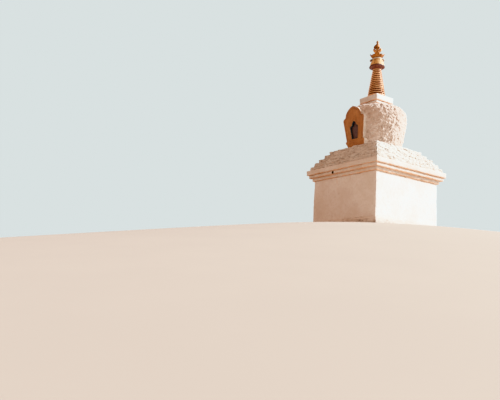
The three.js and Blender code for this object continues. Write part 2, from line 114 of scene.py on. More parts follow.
@dataclass(frozen=True)
class Noise:
    """Repeatable noise on a three-dimensional lattice."""

    seed: int

    def corner(self, cell: Array, salt: int = 0) -> Array:
        """Gives each lattice corner a value from 0 to 1 by mixing the bits of its whole coordinates.

        Args:
            cell: whole coordinates, x y z in the last axis.
            salt: another number for another set of values.

        Returns:
            One value for each corner.
        """
        bits = cell[..., 0] * SCATTER_X + cell[..., 1] * SCATTER_Y + cell[..., 2] * SCATTER_Z
        bits = (bits + (self.seed * 31 + salt) * SCATTER_SEED) & BITS_32
        bits = ((bits ^ (bits >> 13)) * SCATTER_BITS) & BITS_32
        bits = ((bits ^ (bits >> 15)) * SCATTER_Y) & BITS_32
        return ((bits ^ (bits >> 16)) & BITS_24) / float(BITS_24)

    def smooth(self, points: Array, size: float | Triple) -> Array:
        """Blends the eight corner values round each point, with smoothed shares.

        Args:
            points: places, x y z in the last axis.
            size: edge of a lattice cell, one number or one for each axis.

        Returns:
            Noise from -1 to 1.
        """
        scaled = points / np.asarray(size)
        base = np.floor(scaled).astype(np.int64)
        share = smoothstep(0.0, 1.0, scaled - base)
        total = np.zeros(points.shape[:-1])
        for step in np.ndindex(2, 2, 2):
            weight = np.prod(np.where(step, share, 1 - share), axis=-1)
            total += weight * self.corner(base + np.array(step))
        return 2.0 * total - 1.0

    def fractal(self, points: Array, size: float, octaves: int = 3) -> Array:
        """Adds finer and weaker layers of smooth noise: each has half the size and half the height.

        Args:
            points: places, x y z in the last axis.
            size: cell of the broadest layer.
            octaves: how many layers.

        Returns:
            Noise from about -1 to 1.
        """
        total = np.zeros(points.shape[:-1])
        for octave in range(octaves):
            layer = Noise(self.seed + 7 * octave).smooth(points + 0.37 * octave, size / 2**octave)
            total += layer / 2**octave
        return total / (2.0 - 0.5 ** (octaves - 1))

    def cells(self, points: Array, size: Triple) -> tuple[Array, Array, Array]:
        """Finds the nearest and second nearest of scattered seeds, one seed in each lattice cell.

        Args:
            points: places, x y z in the last axis.
            size: edge of a lattice cell along each axis.

        Returns:
            Distance to the nearest seed, how much further the second is, and a value for the nearest one.
        """
        scaled = points / np.asarray(size)
        base = np.floor(scaled).astype(np.int64)
        nearest = np.full(points.shape[:-1], FAR)
        second = np.full(points.shape[:-1], FAR)
        value = np.zeros(points.shape[:-1])
        for offset in np.ndindex(3, 3, 3):
            cell = base + np.array(offset) - 1
            seed = cell + 0.1 + 0.8 * np.stack([self.corner(cell, salt) for salt in (1, 2, 3)], axis=-1)
            distance = np.linalg.norm(seed - scaled, axis=-1)
            closer = distance < nearest
            second = np.where(closer, nearest, np.minimum(second, distance))
            value = np.where(closer, self.corner(cell, 4), value)
            nearest = np.where(closer, distance, nearest)
        return nearest, second - nearest, value


def dents(points: Array, depth: float, seed: int, size: float, octaves: int = 2) -> Array:
    """Gives the small dents of hand-worked metal or wood: noise times a depth."""
    return depth * Noise(seed).fractal(points, size, octaves)


def soil_and_shade(points: Array, base: float | Array, amount: float, seed: int, size: float) -> Array:
    """Gives patchy soiling and painted shade: a base plus an amount of noise, held between 0 and 1."""
    return held(base + amount * Noise(seed).fractal(points, size))


def grid_normals(rings: Rings, looped: bool) -> Array:
    """Works out unit normals of a ring surface: the cross product of the steps around and along it.

    Args:
        rings: the surface.
        looped: whether the last ring meets the first.

    Returns:
        One outward normal for each point.
    """
    around = np.roll(rings, -1, axis=1) - np.roll(rings, 1, axis=1)
    if looped:
        along = np.roll(rings, -1, axis=0) - np.roll(rings, 1, axis=0)
        outward = rings - rings.mean(axis=0)
    else:
        along = np.gradient(rings, axis=0)
        outward = rings - rings.reshape(-1, 3).mean(axis=0)
    normals = np.cross(around, along)
    normals /= np.linalg.norm(normals, axis=-1, keepdims=True) + 1e-12
    return normals if np.sum(normals * outward) > 0 else -normals


def stacked(flat: Array, levels: Array) -> Rings:
    """Lifts flat rings, x y in the last axis, each to its own level."""
    level = np.broadcast_to(levels[:, None, None], (*flat.shape[:2], 1))
    return np.concatenate([flat, level], axis=-1)


def full_turn(count: int) -> Array:
    """Gives angles spread evenly over one turn."""
    return np.linspace(0.0, 2.0 * math.pi, count, endpoint=False)


def directions(turn: float) -> tuple[Array, Array]:
    """Gives two level unit vectors: one turned from +X by an angle, and one a quarter turn further."""
    out = np.array([math.cos(turn), math.sin(turn), 0.0])
    return out, np.array([-math.sin(turn), math.cos(turn), 0.0])


def lathe(radii: Array, levels: Array, around: int) -> Rings:
    """Turns a profile about +Z: each point is radius times (cos, sin) of the angle, at its level.

    Args:
        radii: distance from the axis along the profile.
        levels: height along the profile.
        around: number of points in each ring.

    Returns:
        The rings.
    """
    angle = full_turn(around)
    circle = np.stack([np.cos(angle), np.sin(angle)], axis=-1)
    return stacked(radii[:, None, None] * circle, levels)


def turned(profile: list[Pair], foot: float, step: float, around: int) -> Rings:
    """Turns a corner-to-corner profile, filled with points no further apart than a step.

    Args:
        profile: radius and height of each corner.
        foot: level from which the heights are counted.
        step: longest distance between two points.
        around: number of points in each ring.

    Returns:
        The rings.
    """
    corners = np.array(profile) + (0.0, foot)
    length = np.concatenate([[0.0], np.cumsum(np.linalg.norm(np.diff(corners, axis=0), axis=1))])
    places = np.unique(np.concatenate([length, np.arange(0.0, length[-1], step)]))
    return lathe(np.interp(places, length, corners[:, 0]), np.interp(places, length, corners[:, 1]), around)


def smooth_path(points: list[Pair], count: int) -> Array:
    """Samples a smooth curve through points: cubic spans, with slopes taken from the neighbours.

    Args:
        points: the points that it passes.
        count: number of samples, spread evenly over the spans.

    Returns:
        The samples.
    """
    spots = np.array(points)
    ends = np.concatenate([[2 * spots[0] - spots[1]], spots, [2 * spots[-1] - spots[-2]]])
    place = np.linspace(0.0, len(spots) - 1.0, count)
    span = np.minimum(place.astype(int), len(spots) - 2)
    t = (place - span)[:, None]
    p0, p1, p2, p3 = (ends[span + k] for k in range(4))
    curve = 2 * p1 + (p2 - p0) * t + (2 * p0 - 5 * p1 + 4 * p2 - p3) * t**2
    return 0.5 * (curve + (3 * p1 - p0 - 3 * p2 + p3) * t**3)


def swept(path: Array, across: Array, wide: Array, thick: Array, around: int) -> Rings:
    """Carries an ellipse along a path: path point, plus cos times width, plus sin times thickness.

    Args:
        path: centre points.
        across: unit vector of the ellipse's thickness, square to the path's plane.
        wide: half width of each ellipse, in the plane of the path.
        thick: half thickness of each ellipse, along across.
        around: number of points in each ring.

    Returns:
        The rings.
    """
    forward = np.gradient(path, axis=0)
    forward /= np.linalg.norm(forward, axis=1, keepdims=True)
    side = np.cross(forward, across)
    angle = full_turn(around)[None, :, None]
    width = np.cos(angle) * side[:, None] * wide[:, None, None]
    return path[:, None] + width + np.sin(angle) * across * thick[:, None, None]


def solid_mesh(name: str, rings: Rings, looped: bool) -> bpy.types.Mesh:
    """Makes a closed mesh from rings: quads between them, and a fan of triangles over each open end.

    Args:
        name: the mesh's name.
        rings: the surface.
        looped: whether the last ring meets the first, which leaves no ends to close.

    Returns:
        The mesh, with its faces pointing out: its volume is counted, and negative ones are reversed.
    """
    count, around = rings.shape[:2]
    index = np.arange(count * around).reshape(count, around)
    upper = np.roll(index, -1, axis=0) if looped else index[1:]
    lower = index if looped else index[:-1]
    quads = np.stack([lower, np.roll(lower, -1, axis=1), np.roll(upper, -1, axis=1), upper], axis=-1)
    quads = quads.reshape(-1, 4)
    vertices = rings.reshape(-1, 3)
    fans = np.zeros((0, 3), np.int64)
    if not looped:
        vertices = np.concatenate([vertices, rings[:1].mean(axis=1), rings[-1:].mean(axis=1)])
        pole = np.full(around, count * around)
        first = np.stack([np.roll(index[0], -1), index[0], pole], axis=-1)
        last = np.stack([index[-1], np.roll(index[-1], -1), pole + 1], axis=-1)
        fans = np.concatenate([first, last])
    triangles = np.concatenate([quads[:, [0, 1, 2]], quads[:, [0, 2, 3]], fans])
    a, b, c = (vertices[triangles[:, k]] for k in range(3))
    if np.einsum("ij,ij->", a, np.cross(b, c)) < 0:
        quads, fans = quads[:, ::-1], fans[:, ::-1]
    mesh = bpy.data.meshes.new(name)
    mesh.vertices.add(len(vertices))
    mesh.vertices.foreach_set("co", vertices.astype(np.float32).ravel())
    corners = np.concatenate([quads.ravel(), fans.ravel()]).astype(np.int32)
    mesh.loops.add(len(corners))
    mesh.loops.foreach_set("vertex_index", corners)
    starts = np.concatenate([4 * np.arange(len(quads)), 4 * len(quads) + 3 * np.arange(len(fans))])
    mesh.polygons.add(len(starts))
    mesh.polygons.foreach_set("loop_start", starts.astype(np.int32))
    mesh.polygons.foreach_set("use_smooth", np.ones(len(starts), bool))
    mesh.update(calc_edges=True)
    mesh.validate()
    return mesh


def add_piece(
    name: str,
    node: str,
    material: Material,
    rings: Rings,
    dirt_and_shade: Array,
    heights: Array | None = None,
    looped: bool = False,
) -> None:
    """Makes one piece of the object, which rides on its body and stands for its CAD node.

    Args:
        name: the piece's name.
        node: the CAD node that it replaces.
        material: its finish.
        rings: its surface.
        dirt_and_shade: how much soiling and painted shade each point holds, which the finish reads.
        heights: how far each point moves out along its normal.
        looped: whether the last ring meets the first.
    """
    if heights is not None:
        rings = rings + grid_normals(rings, looped) * heights[..., None]
    mesh = solid_mesh(name, rings, looped)
    values = np.zeros(len(mesh.vertices), np.float32)
    values[: dirt_and_shade.size] = dirt_and_shade.ravel()
    mesh.attributes.new("dirt_and_shade", "FLOAT", "POINT").data.foreach_set("value", values)
    mesh.materials.append(material)
    piece = bpy.data.objects.new(name, mesh)
    bpy.context.scene.collection.objects.link(piece)
    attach(piece, BODY)
    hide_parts(node)
    LOG.info("%s: %d faces", name, len(mesh.polygons))


@dataclass(frozen=True)
class Relief:
    """Unevenness of a hand-worked surface, in metres along its outward normal."""

    seed: int
    swell: float = 0.006
    swell_size: float = 0.55
    lump: float = 0.003
    lump_size: float = 0.12
    chip: float = 0.016
    chip_size: float = 0.13

    def heights(self, points: Array, edge: Array) -> tuple[Array, Array]:
        """Adds a broad swell, rounded lumps, and chips that eat into the edges where noise is high.

        Args:
            points: the surface's points.
            edge: closeness to an edge, from 0 to 1.

        Returns:
            The height of each point, and how dark it is: darker low between lumps and where chips bite.
        """
        broad = Noise(self.seed).fractal(points, self.swell_size, 2)
        lumps = Noise(self.seed + 50).fractal(points, self.lump_size)
        bite = smoothstep(0.05, 0.75, Noise(self.seed + 90).fractal(points, self.chip_size, 2)) * edge
        heights = self.swell * broad + self.lump * lumps - self.chip * (bite + 0.35 * edge)
        return heights, 0.6 * held(0.35 - 0.8 * lumps) + 0.7 * bite

    def bent(self, points: Array, amount: float, salt: int, size: float) -> Array:
        """Shifts points by noise, the same amount along each axis, so that seams run crookedly."""
        return points + amount * Noise(self.seed + salt).fractal(points, size, 2)[..., None]


@dataclass(frozen=True)
class RubbleRelief(Relief):
    """Flat field stones under many coats of limewash: each stands out by its own amount."""

    stone: float = 0.032
    joint: float = 0.020
    pit: float = 0.018
    grit: float = 0.011
    stone_size: Triple = (0.24, 0.24, 0.075)
    pit_size: Triple = (0.07, 0.07, 0.022)
    patch_size: Triple = (0.5, 0.5, 0.12)

    def heights(self, points: Array, edge: Array) -> tuple[Array, Array]:
        """Adds stones, each as high as its seed says, joints that sink between them, and long thin pits.

        Args:
            points: the surface's points.
            edge: closeness to an edge, from 0 to 1.

        Returns:
            The height of each point, and how dark it is: dark joints and pits, darkened further as painted
            shade.
        """
        plain, dirt_and_shade = super().heights(points, edge)
        bent = self.bent(points, 0.03, 3, 0.2)
        _, gap, value = Noise(self.seed + 11).cells(bent, self.stone_size)
        seam = 1.0 - smoothstep(0.0, 0.22, gap)
        patch = smoothstep(-0.05, 0.45, Noise(self.seed + 17).smooth(points, self.patch_size))
        pit = smoothstep(0.42, 0.60, Noise(self.seed + 15).smooth(bent, self.pit_size)) * patch
        sharp = Noise(self.seed + 19).fractal(points, 0.05, 2)
        heights = plain + self.stone * (value - 0.5) - self.joint * seam - self.pit * pit + self.grit * sharp
        # joints and pits are dark, and darker still as painted shade for their shadows
        return heights, held(0.5 * dirt_and_shade + 0.5 * seam + 0.9 * pit - 0.4 * sharp)


@dataclass(frozen=True)
class DaubRelief(Relief):
    """Thrown daub over small stones: a coarse skin of handfuls and facets."""

    daub: float = 0.040
    stone: float = 0.040
    crack: float = 0.026
    grit: float = 0.009
    daub_size: Triple = (0.15, 0.15, 0.12)
    stone_size: Triple = (0.085, 0.085, 0.06375)

    def heights(self, points: Array, edge: Array) -> tuple[Array, Array]:
        """Adds handfuls, each a dome over its seed, stones of uneven height with cracks, and sharp grit.

        Args:
            points: the surface's points.
            edge: closeness to an edge, from 0 to 1.

        Returns:
            The height of each point, and how dark it is: painted shade in the cracks and on sunken facets and
            grit.
        """
        plain, dirt_and_shade = super().heights(points, edge)
        near, _, value = Noise(self.seed + 11).cells(self.bent(points, 0.04, 3, 0.16), self.daub_size)
        mound = (0.55 - near) * (0.5 + value)
        _, gap, rank = Noise(self.seed + 21).cells(self.bent(points, 0.022, 5, 0.07), self.stone_size)
        facet = (rank - 0.5) * smoothstep(0.0, 0.36, gap)
        sharp = Noise(self.seed + 31).fractal(points, 0.05, 2)
        ragged = smoothstep(-0.1, 0.5, Noise(self.seed + 41).fractal(points, 0.11, 2))
        crack = (1.0 - smoothstep(0.05, 0.30, gap)) * ragged
        heights = plain + self.daub * mound + self.stone * facet + self.grit * sharp - self.crack * crack
        # cracks, sunken facets and low grit are darkened: painted shade that stands in for their shadows
        return heights, held(0.4 * dirt_and_shade - 0.5 * facet - 0.2 * sharp + 0.45 * crack)


class Tree:
    """A material's node tree, with short calls for the nodes that the finishes share."""

    def __init__(self, name: str) -> None:
        """Starts a material that holds a Principled shader and reads Object coordinates.

        Args:
            name: the material's name.
        """
        self.material = bpy.data.materials.new(name)
        self.material.use_nodes = True
        self.nodes = self.material.node_tree.nodes
        self.links = self.material.node_tree.links
        self.shader = self.nodes["Principled BSDF"]
        self.place = self.nodes.new("ShaderNodeTexCoord").outputs["Object"]

    def new(self, kind: str, **settings: object) -> bpy.types.Node:
        """Adds a node and sets its properties.

        Args:
            kind: the node's type.
            settings: properties and their values.

        Returns:
            The node.
        """
        node = self.nodes.new(kind)
        for key, value in settings.items():
            setattr(node, key, value)
        return node

    def feed(self, socket: Socket, value: object) -> None:
        """Links an output to an input, or sets the input to a plain number or colour.

        Args:
            socket: the input.
            value: an output, a number, a vector or a colour.
        """
        if isinstance(value, Socket):
            self.links.new(value, socket)
        elif socket.type == "RGBA":
            socket.default_value = (*value, 1.0)
        else:
            socket.default_value = value

    def noise(self, scale: float, detail: float = 4.0, stretch: Triple | None = None) -> Socket:
        """Gives noise over Object coordinates, from 0 to 1.

        Args:
            scale: cells in a metre.
            detail: how many finer layers.
            stretch: how much faster the pattern runs along each axis.

        Returns:
            The noise's output.
        """
        place = self.place
        if stretch is not None:
            mapping = self.new("ShaderNodeMapping")
            self.feed(mapping.inputs["Vector"], self.place)
            self.feed(mapping.inputs["Scale"], stretch)
            place = mapping.outputs["Vector"]
        node = self.new("ShaderNodeTexNoise")
        for key, value in (("Vector", place), ("Scale", scale), ("Detail", detail), ("Roughness", 0.6)):
            self.feed(node.inputs[key], value)
        return node.outputs["Fac"]

    def span(self, value: object, low: float, high: float, start: float = 0.0, end: float = 1.0) -> Socket:
        """Maps low to start and high to end with a smooth step, and holds beyond them.

        Args:
            value: the socket to map.
            low: input that gives start.
            high: input that gives end.
            start: output at low.
            end: output at high.

        Returns:
            The mapped output.
        """
        node = self.new("ShaderNodeMapRange", interpolation_type="SMOOTHSTEP")
        keys = ("Value", "From Min", "From Max", "To Min", "To Max")
        for key, number in zip(keys, (value, low, high, start, end)):
            self.feed(node.inputs[key], number)
        return node.outputs["Result"]

    def maths(self, operation: str, first: object, second: object) -> Socket:
        """Works out one arithmetic operation.

        Args:
            operation: its name, such as ADD.
            first: an output or a number.
            second: the same.

        Returns:
            The result's output.
        """
        node = self.new("ShaderNodeMath", operation=operation)
        self.feed(node.inputs[0], first)
        self.feed(node.inputs[1], second)
        return node.outputs[0]

    def mix(self, share: Socket, first: object, second: object) -> Socket:
        """Blends two colours.

        Args:
            share: how much of the second shows.
            first: an output or a plain colour.
            second: the same.

        Returns:
            The blend's output.
        """
        node = self.new("ShaderNodeMix", data_type="RGBA")
        self.feed(node.inputs["Factor"], share)
        self.feed(node.inputs[6], first)
        self.feed(node.inputs[7], second)
        return node.outputs[2]

    def layer(
        self,
        colour: object,
        over: Colour,
        pattern: Pair,
        low: float,
        high: float,
        share: float = 1.0,
        stretch: Triple | None = None,
    ) -> Socket:
        """Lays a colour over another where noise is high: its share is a smooth step of the noise.

        Args:
            colour: what lies below.
            over: the colour laid over it.
            pattern: the noise's scale and detail.
            low: noise at which the layer starts.
            high: noise at which it is full.
            share: how much of it shows where it is full.
            stretch: how much faster the pattern runs along each axis.

        Returns:
            The blended colour.
        """
        return self.mix(self.span(self.noise(*pattern, stretch), low, high, 0.0, share), colour, over)

    def axis(self, name: str) -> Socket:
        """Gives one coordinate of the place.

        Args:
            name: X, Y or Z.

        Returns:
            The coordinate's output.
        """
        node = self.new("ShaderNodeSeparateXYZ")
        self.feed(node.inputs[0], self.place)
        return node.outputs[name]

    def dirt_and_shade(self, low: float, high: float, share: float) -> Socket:
        """Maps the piece's own attribute of soiling and painted shade: 0 at low, share at high."""
        attribute = self.new("ShaderNodeAttribute", attribute_name="dirt_and_shade")
        return self.span(attribute.outputs["Fac"], low, high, 0.0, share)

    def finish(self, colour: Socket, roughness: Socket, bumps: list[tuple[Socket, float]]) -> Material:
        """Links the shader's colour, roughness and stacked bump layers.

        Args:
            colour: the base colour.
            roughness: the roughness.
            bumps: for each bump layer its height and its real depth in metres.

        Returns:
            The material.
        """
        self.feed(self.shader.inputs["Base Color"], colour)
        self.feed(self.shader.inputs["Roughness"], roughness)
        normal = None
        for height, depth in bumps:
            node = self.new("ShaderNodeBump")
            self.feed(node.inputs["Strength"], 1.0)
            self.feed(node.inputs["Distance"], depth)
            self.feed(node.inputs["Height"], height)
            if normal is not None:
                self.feed(node.inputs["Normal"], normal)
            normal = node.outputs["Normal"]
        self.feed(self.shader.inputs["Normal"], normal)
        return self.material


@dataclass(frozen=True)
class Limewash:
    """Many coats of limewash over rough plaster, warmed by dust, with rusty runs under each ledge."""

    name: str
    fresh: Colour = (0.82, 0.77, 0.71)
    aged: Colour = (0.70, 0.60, 0.51)
    # colour of the runs, and of the foot line, which is partly staining and partly painted warm bounce light
    stain_and_bounce: Colour = (0.88, 0.49, 0.27)
    soil_and_shade: Colour = (0.26, 0.15, 0.09)
    # the near-black painted shade inside a hole
    depth: Colour = (0.035, 0.022, 0.015)
    # level and height of the foot line, which paints warm bounce light in the shade at a course's foot and
    # underside
    stain_and_bounce_level: float | None = None
    stain_and_bounce_height: float = 0.03
    run_top: float | None = None
    foot_soil: float = 0.0

    def build(self) -> Material:
        """Blends fresh and aged wash by noise, adds soiling and painted shade in hollows, a stained line of
        painted bounce light, and runs.

        Returns:
            The material.
        """
        tree = Tree(self.name)
        colour = tree.layer(self.fresh, self.aged, (1.3, 6.0), 0.35, 0.7, 0.75)
        colour = tree.layer(colour, self.aged, (11.0, 8.0), 0.4, 0.75, 0.6)
        colour = tree.layer(colour, self.soil_and_shade, (46.0, 5.0), 0.62, 0.75, 0.35)
        level = tree.axis("Z")
        if self.run_top is not None:
            streak = tree.span(tree.noise(13.0, 6.0, (1.0, 1.0, 0.07)), 0.52, 0.74)
            fade = tree.span(level, self.run_top - 0.6, self.run_top, 0.0, 0.30)
            patchy = tree.span(tree.noise(2.6), 0.42, 0.66)
            runs = tree.maths("MULTIPLY", streak, tree.maths("MULTIPLY", fade, patchy))
            colour = tree.mix(runs, colour, self.stain_and_bounce)
        # the foot line: partly staining, partly painted warm bounce light in the shade under a ledge
        if self.stain_and_bounce_level is not None:
            ragged = tree.maths("ADD", level, tree.span(tree.noise(9.0, 5.0), 0.25, 0.75, -0.012, 0.012))
            line = tree.span(ragged, self.stain_and_bounce_level, self.stain_and_bounce_level + self.stain_and_bounce_height, 0.8, 0.0)
            broken = tree.span(tree.noise(5.0), 0.3, 0.5, 0.35, 1.0)
            colour = tree.mix(tree.maths("MULTIPLY", line, broken), colour, self.stain_and_bounce)
        if self.foot_soil > 0.0:
            rise = tree.maths("ADD", level, tree.span(tree.noise(3.0, 6.0), 0.3, 0.7, -0.12, 0.12))
            colour = tree.mix(tree.span(rise, 0.0, self.foot_soil, 0.75, 0.0), colour, self.soil_and_shade)
        # soiling and painted shade where the relief is low, chipped or cracked
        colour = tree.mix(tree.dirt_and_shade(0.3, 1.0, 0.5), colour, self.soil_and_shade)
        # paints the shade inside a hole near black
        colour = tree.mix(tree.dirt_and_shade(1.1, 2.0, 1.0), colour, self.depth)
        tree.shader.inputs["Specular IOR Level"].default_value = 0.25
        rough = tree.span(tree.noise(6.0), 0.3, 0.7, 0.82, 0.96)
        return tree.finish(colour, rough, [(tree.noise(24.0, 8.0), 0.012), (tree.noise(120.0, 6.0), 0.003)])


@dataclass(frozen=True)
class Ochre:
    """Ochre paint on plaster, faded and rubbed, with white plaster where the paint stops at the sides."""

    name: str
    paint_until: Triple  # Y of the face, slope of the face, and the level where the face has that Y
    edge: Pair = (0.018, 0.028)
    paint: Colour = (0.46, 0.210, 0.105)
    faded: Colour = (0.56, 0.280, 0.135)
    dark: Colour = (0.24, 0.11, 0.07)
    white: Colour = (0.74, 0.65, 0.55)

    def build(self) -> Material:
        """Blends paint and faded paint, darkens hollows, and stops the paint behind a sloping plane.

        Returns:
            The material.
        """
        tree = Tree(self.name)
        colour = tree.layer(self.paint, self.faded, (4.0, 6.0), 0.35, 0.7)
        colour = tree.layer(colour, self.dark, (14.0, 6.0), 0.45, 0.75, 0.5, (1.0, 1.0, 0.15))
        colour = tree.layer(colour, self.white, (70.0, 4.0), 0.64, 0.74, 0.4)
        colour = tree.mix(tree.dirt_and_shade(0.3, 1.0, 0.8), colour, self.dark)
        face, slope, level = self.paint_until
        lean = tree.maths("MULTIPLY", tree.maths("SUBTRACT", tree.axis("Z"), level), slope)
        behind = tree.maths("SUBTRACT", tree.maths("SUBTRACT", tree.axis("Y"), face), lean)
        ragged = tree.maths("ADD", behind, tree.span(tree.noise(18.0, 5.0), 0.3, 0.7, -0.005, 0.005))
        colour = tree.mix(tree.span(ragged, *self.edge), colour, self.white)
        rough = tree.span(tree.noise(9.0), 0.3, 0.7, 0.6, 0.85)
        return tree.finish(colour, rough, [(tree.noise(40.0, 8.0), 0.005), (tree.noise(180.0, 5.0), 0.0012)])


@dataclass(frozen=True)
class Timber:
    """Painted or weathered boards with the grain upright."""

    name: str
    paint: Colour
    worn: Colour
    gloss: float

    def build(self) -> Material:
        """Blends paint and worn wood along an upright grain, darker in grooves and hollows.

        Returns:
            The material.
        """
        tree = Tree(self.name)
        grain = tree.noise(60.0, 6.0, (1.0, 1.0, 0.06))
        colour = tree.mix(tree.span(grain, 0.42, 0.68), self.paint, self.worn)
        colour = tree.layer(colour, self.worn, (7.0, 5.0), 0.45, 0.75, 0.5)
        colour = tree.mix(tree.dirt_and_shade(0.3, 1.0, 0.85), colour, tuple(0.3 * c for c in self.paint))
        rough = tree.span(grain, 0.3, 0.7, self.gloss, self.gloss + 0.25)
        return tree.finish(colour, rough, [(grain, 0.002)])


@dataclass(frozen=True)
class Gilding:
    """Gilded copper sheet: warm gold on what stands out, brown copper, and sooty black with painted shade in
    the grooves.
    """

    name: str
    gold: Colour = (0.78, 0.46, 0.22)
    copper: Colour = (0.50, 0.23, 0.11)
    soot_and_shade: Colour = (0.11, 0.055, 0.035)
    metal: float = 0.9
    wear: float = 0.8
    lacquer: float = 0.0
    lacquer_matt: float = 0.5
    matt: Pair = (0.32, 0.55)

    def build(self) -> Material:
        """Blends gold into copper by broad noise and runs, and into sooty black with painted shade where the
        sheet is hollow or shaded.

        Returns:
            The material.
        """
        tree = Tree(self.name)
        colour = tree.layer(self.gold, self.copper, (5.0, 7.0), 0.42, 0.62, self.wear)
        colour = tree.layer(colour, self.copper, (22.0, 5.0), 0.52, 0.72, 0.55, (1.0, 1.0, 0.12))
        colour = tree.layer(colour, self.soot_and_shade, (85.0, 4.0), 0.63, 0.74, 0.3)
        # sooty black and painted shade from the attribute, where the sheet is also less metallic and uncoated
        grime_and_shade = tree.dirt_and_shade(0.2, 0.95, 0.9)
        colour = tree.mix(grime_and_shade, colour, self.soot_and_shade)
        tree.feed(tree.shader.inputs["Metallic"], tree.span(grime_and_shade, 0.0, 0.8, self.metal, 0.15))
        tree.feed(tree.shader.inputs["Coat Weight"], tree.span(grime_and_shade, 0.0, 0.5, self.lacquer, 0.0))
        tree.shader.inputs["Coat Roughness"].default_value = self.lacquer_matt
        rough = tree.span(tree.noise(17.0, 6.0), 0.3, 0.7, *self.matt)
        return tree.finish(colour, rough, [(tree.noise(22.0, 3.0), 0.0015), (tree.noise(120.0), 0.0004)])


@dataclass(frozen=True)
class MetalPaint:
    """Old paint on sheet metal, powdery and flaking to the colour under it."""

    name: str
    paint: Colour
    under: Colour
    tip: Colour | None = None
    tip_radius: Pair = (0.214, 0.240)

    def build(self) -> Material:
        """Blends the paint with what is under it, and gives the piece another colour beyond a radius.

        Returns:
            The material.
        """
        tree = Tree(self.name)
        colour = tree.layer(self.paint, self.under, (12.0, 8.0), 0.5, 0.66)
        if self.tip is not None:
            flat = tree.new("ShaderNodeVectorMath", operation="MULTIPLY")
            tree.feed(flat.inputs[0], tree.place)
            tree.feed(flat.inputs[1], (1.0, 1.0, 0.0))
            length = tree.new("ShaderNodeVectorMath", operation="LENGTH")
            tree.feed(length.inputs[0], flat.outputs[0])
            colour = tree.mix(tree.span(length.outputs["Value"], *self.tip_radius), colour, self.tip)
        red, green, blue = self.paint
        colour = tree.mix(tree.dirt_and_shade(0.2, 1.0, 0.85), colour, (red * 0.25, green * 0.2, blue * 0.2))
        tree.shader.inputs["Metallic"].default_value = 0.1
        rough = tree.span(tree.noise(20.0), 0.3, 0.7, 0.5, 0.75)
        return tree.finish(colour, rough, [(tree.noise(60.0, 6.0), 0.0012)])


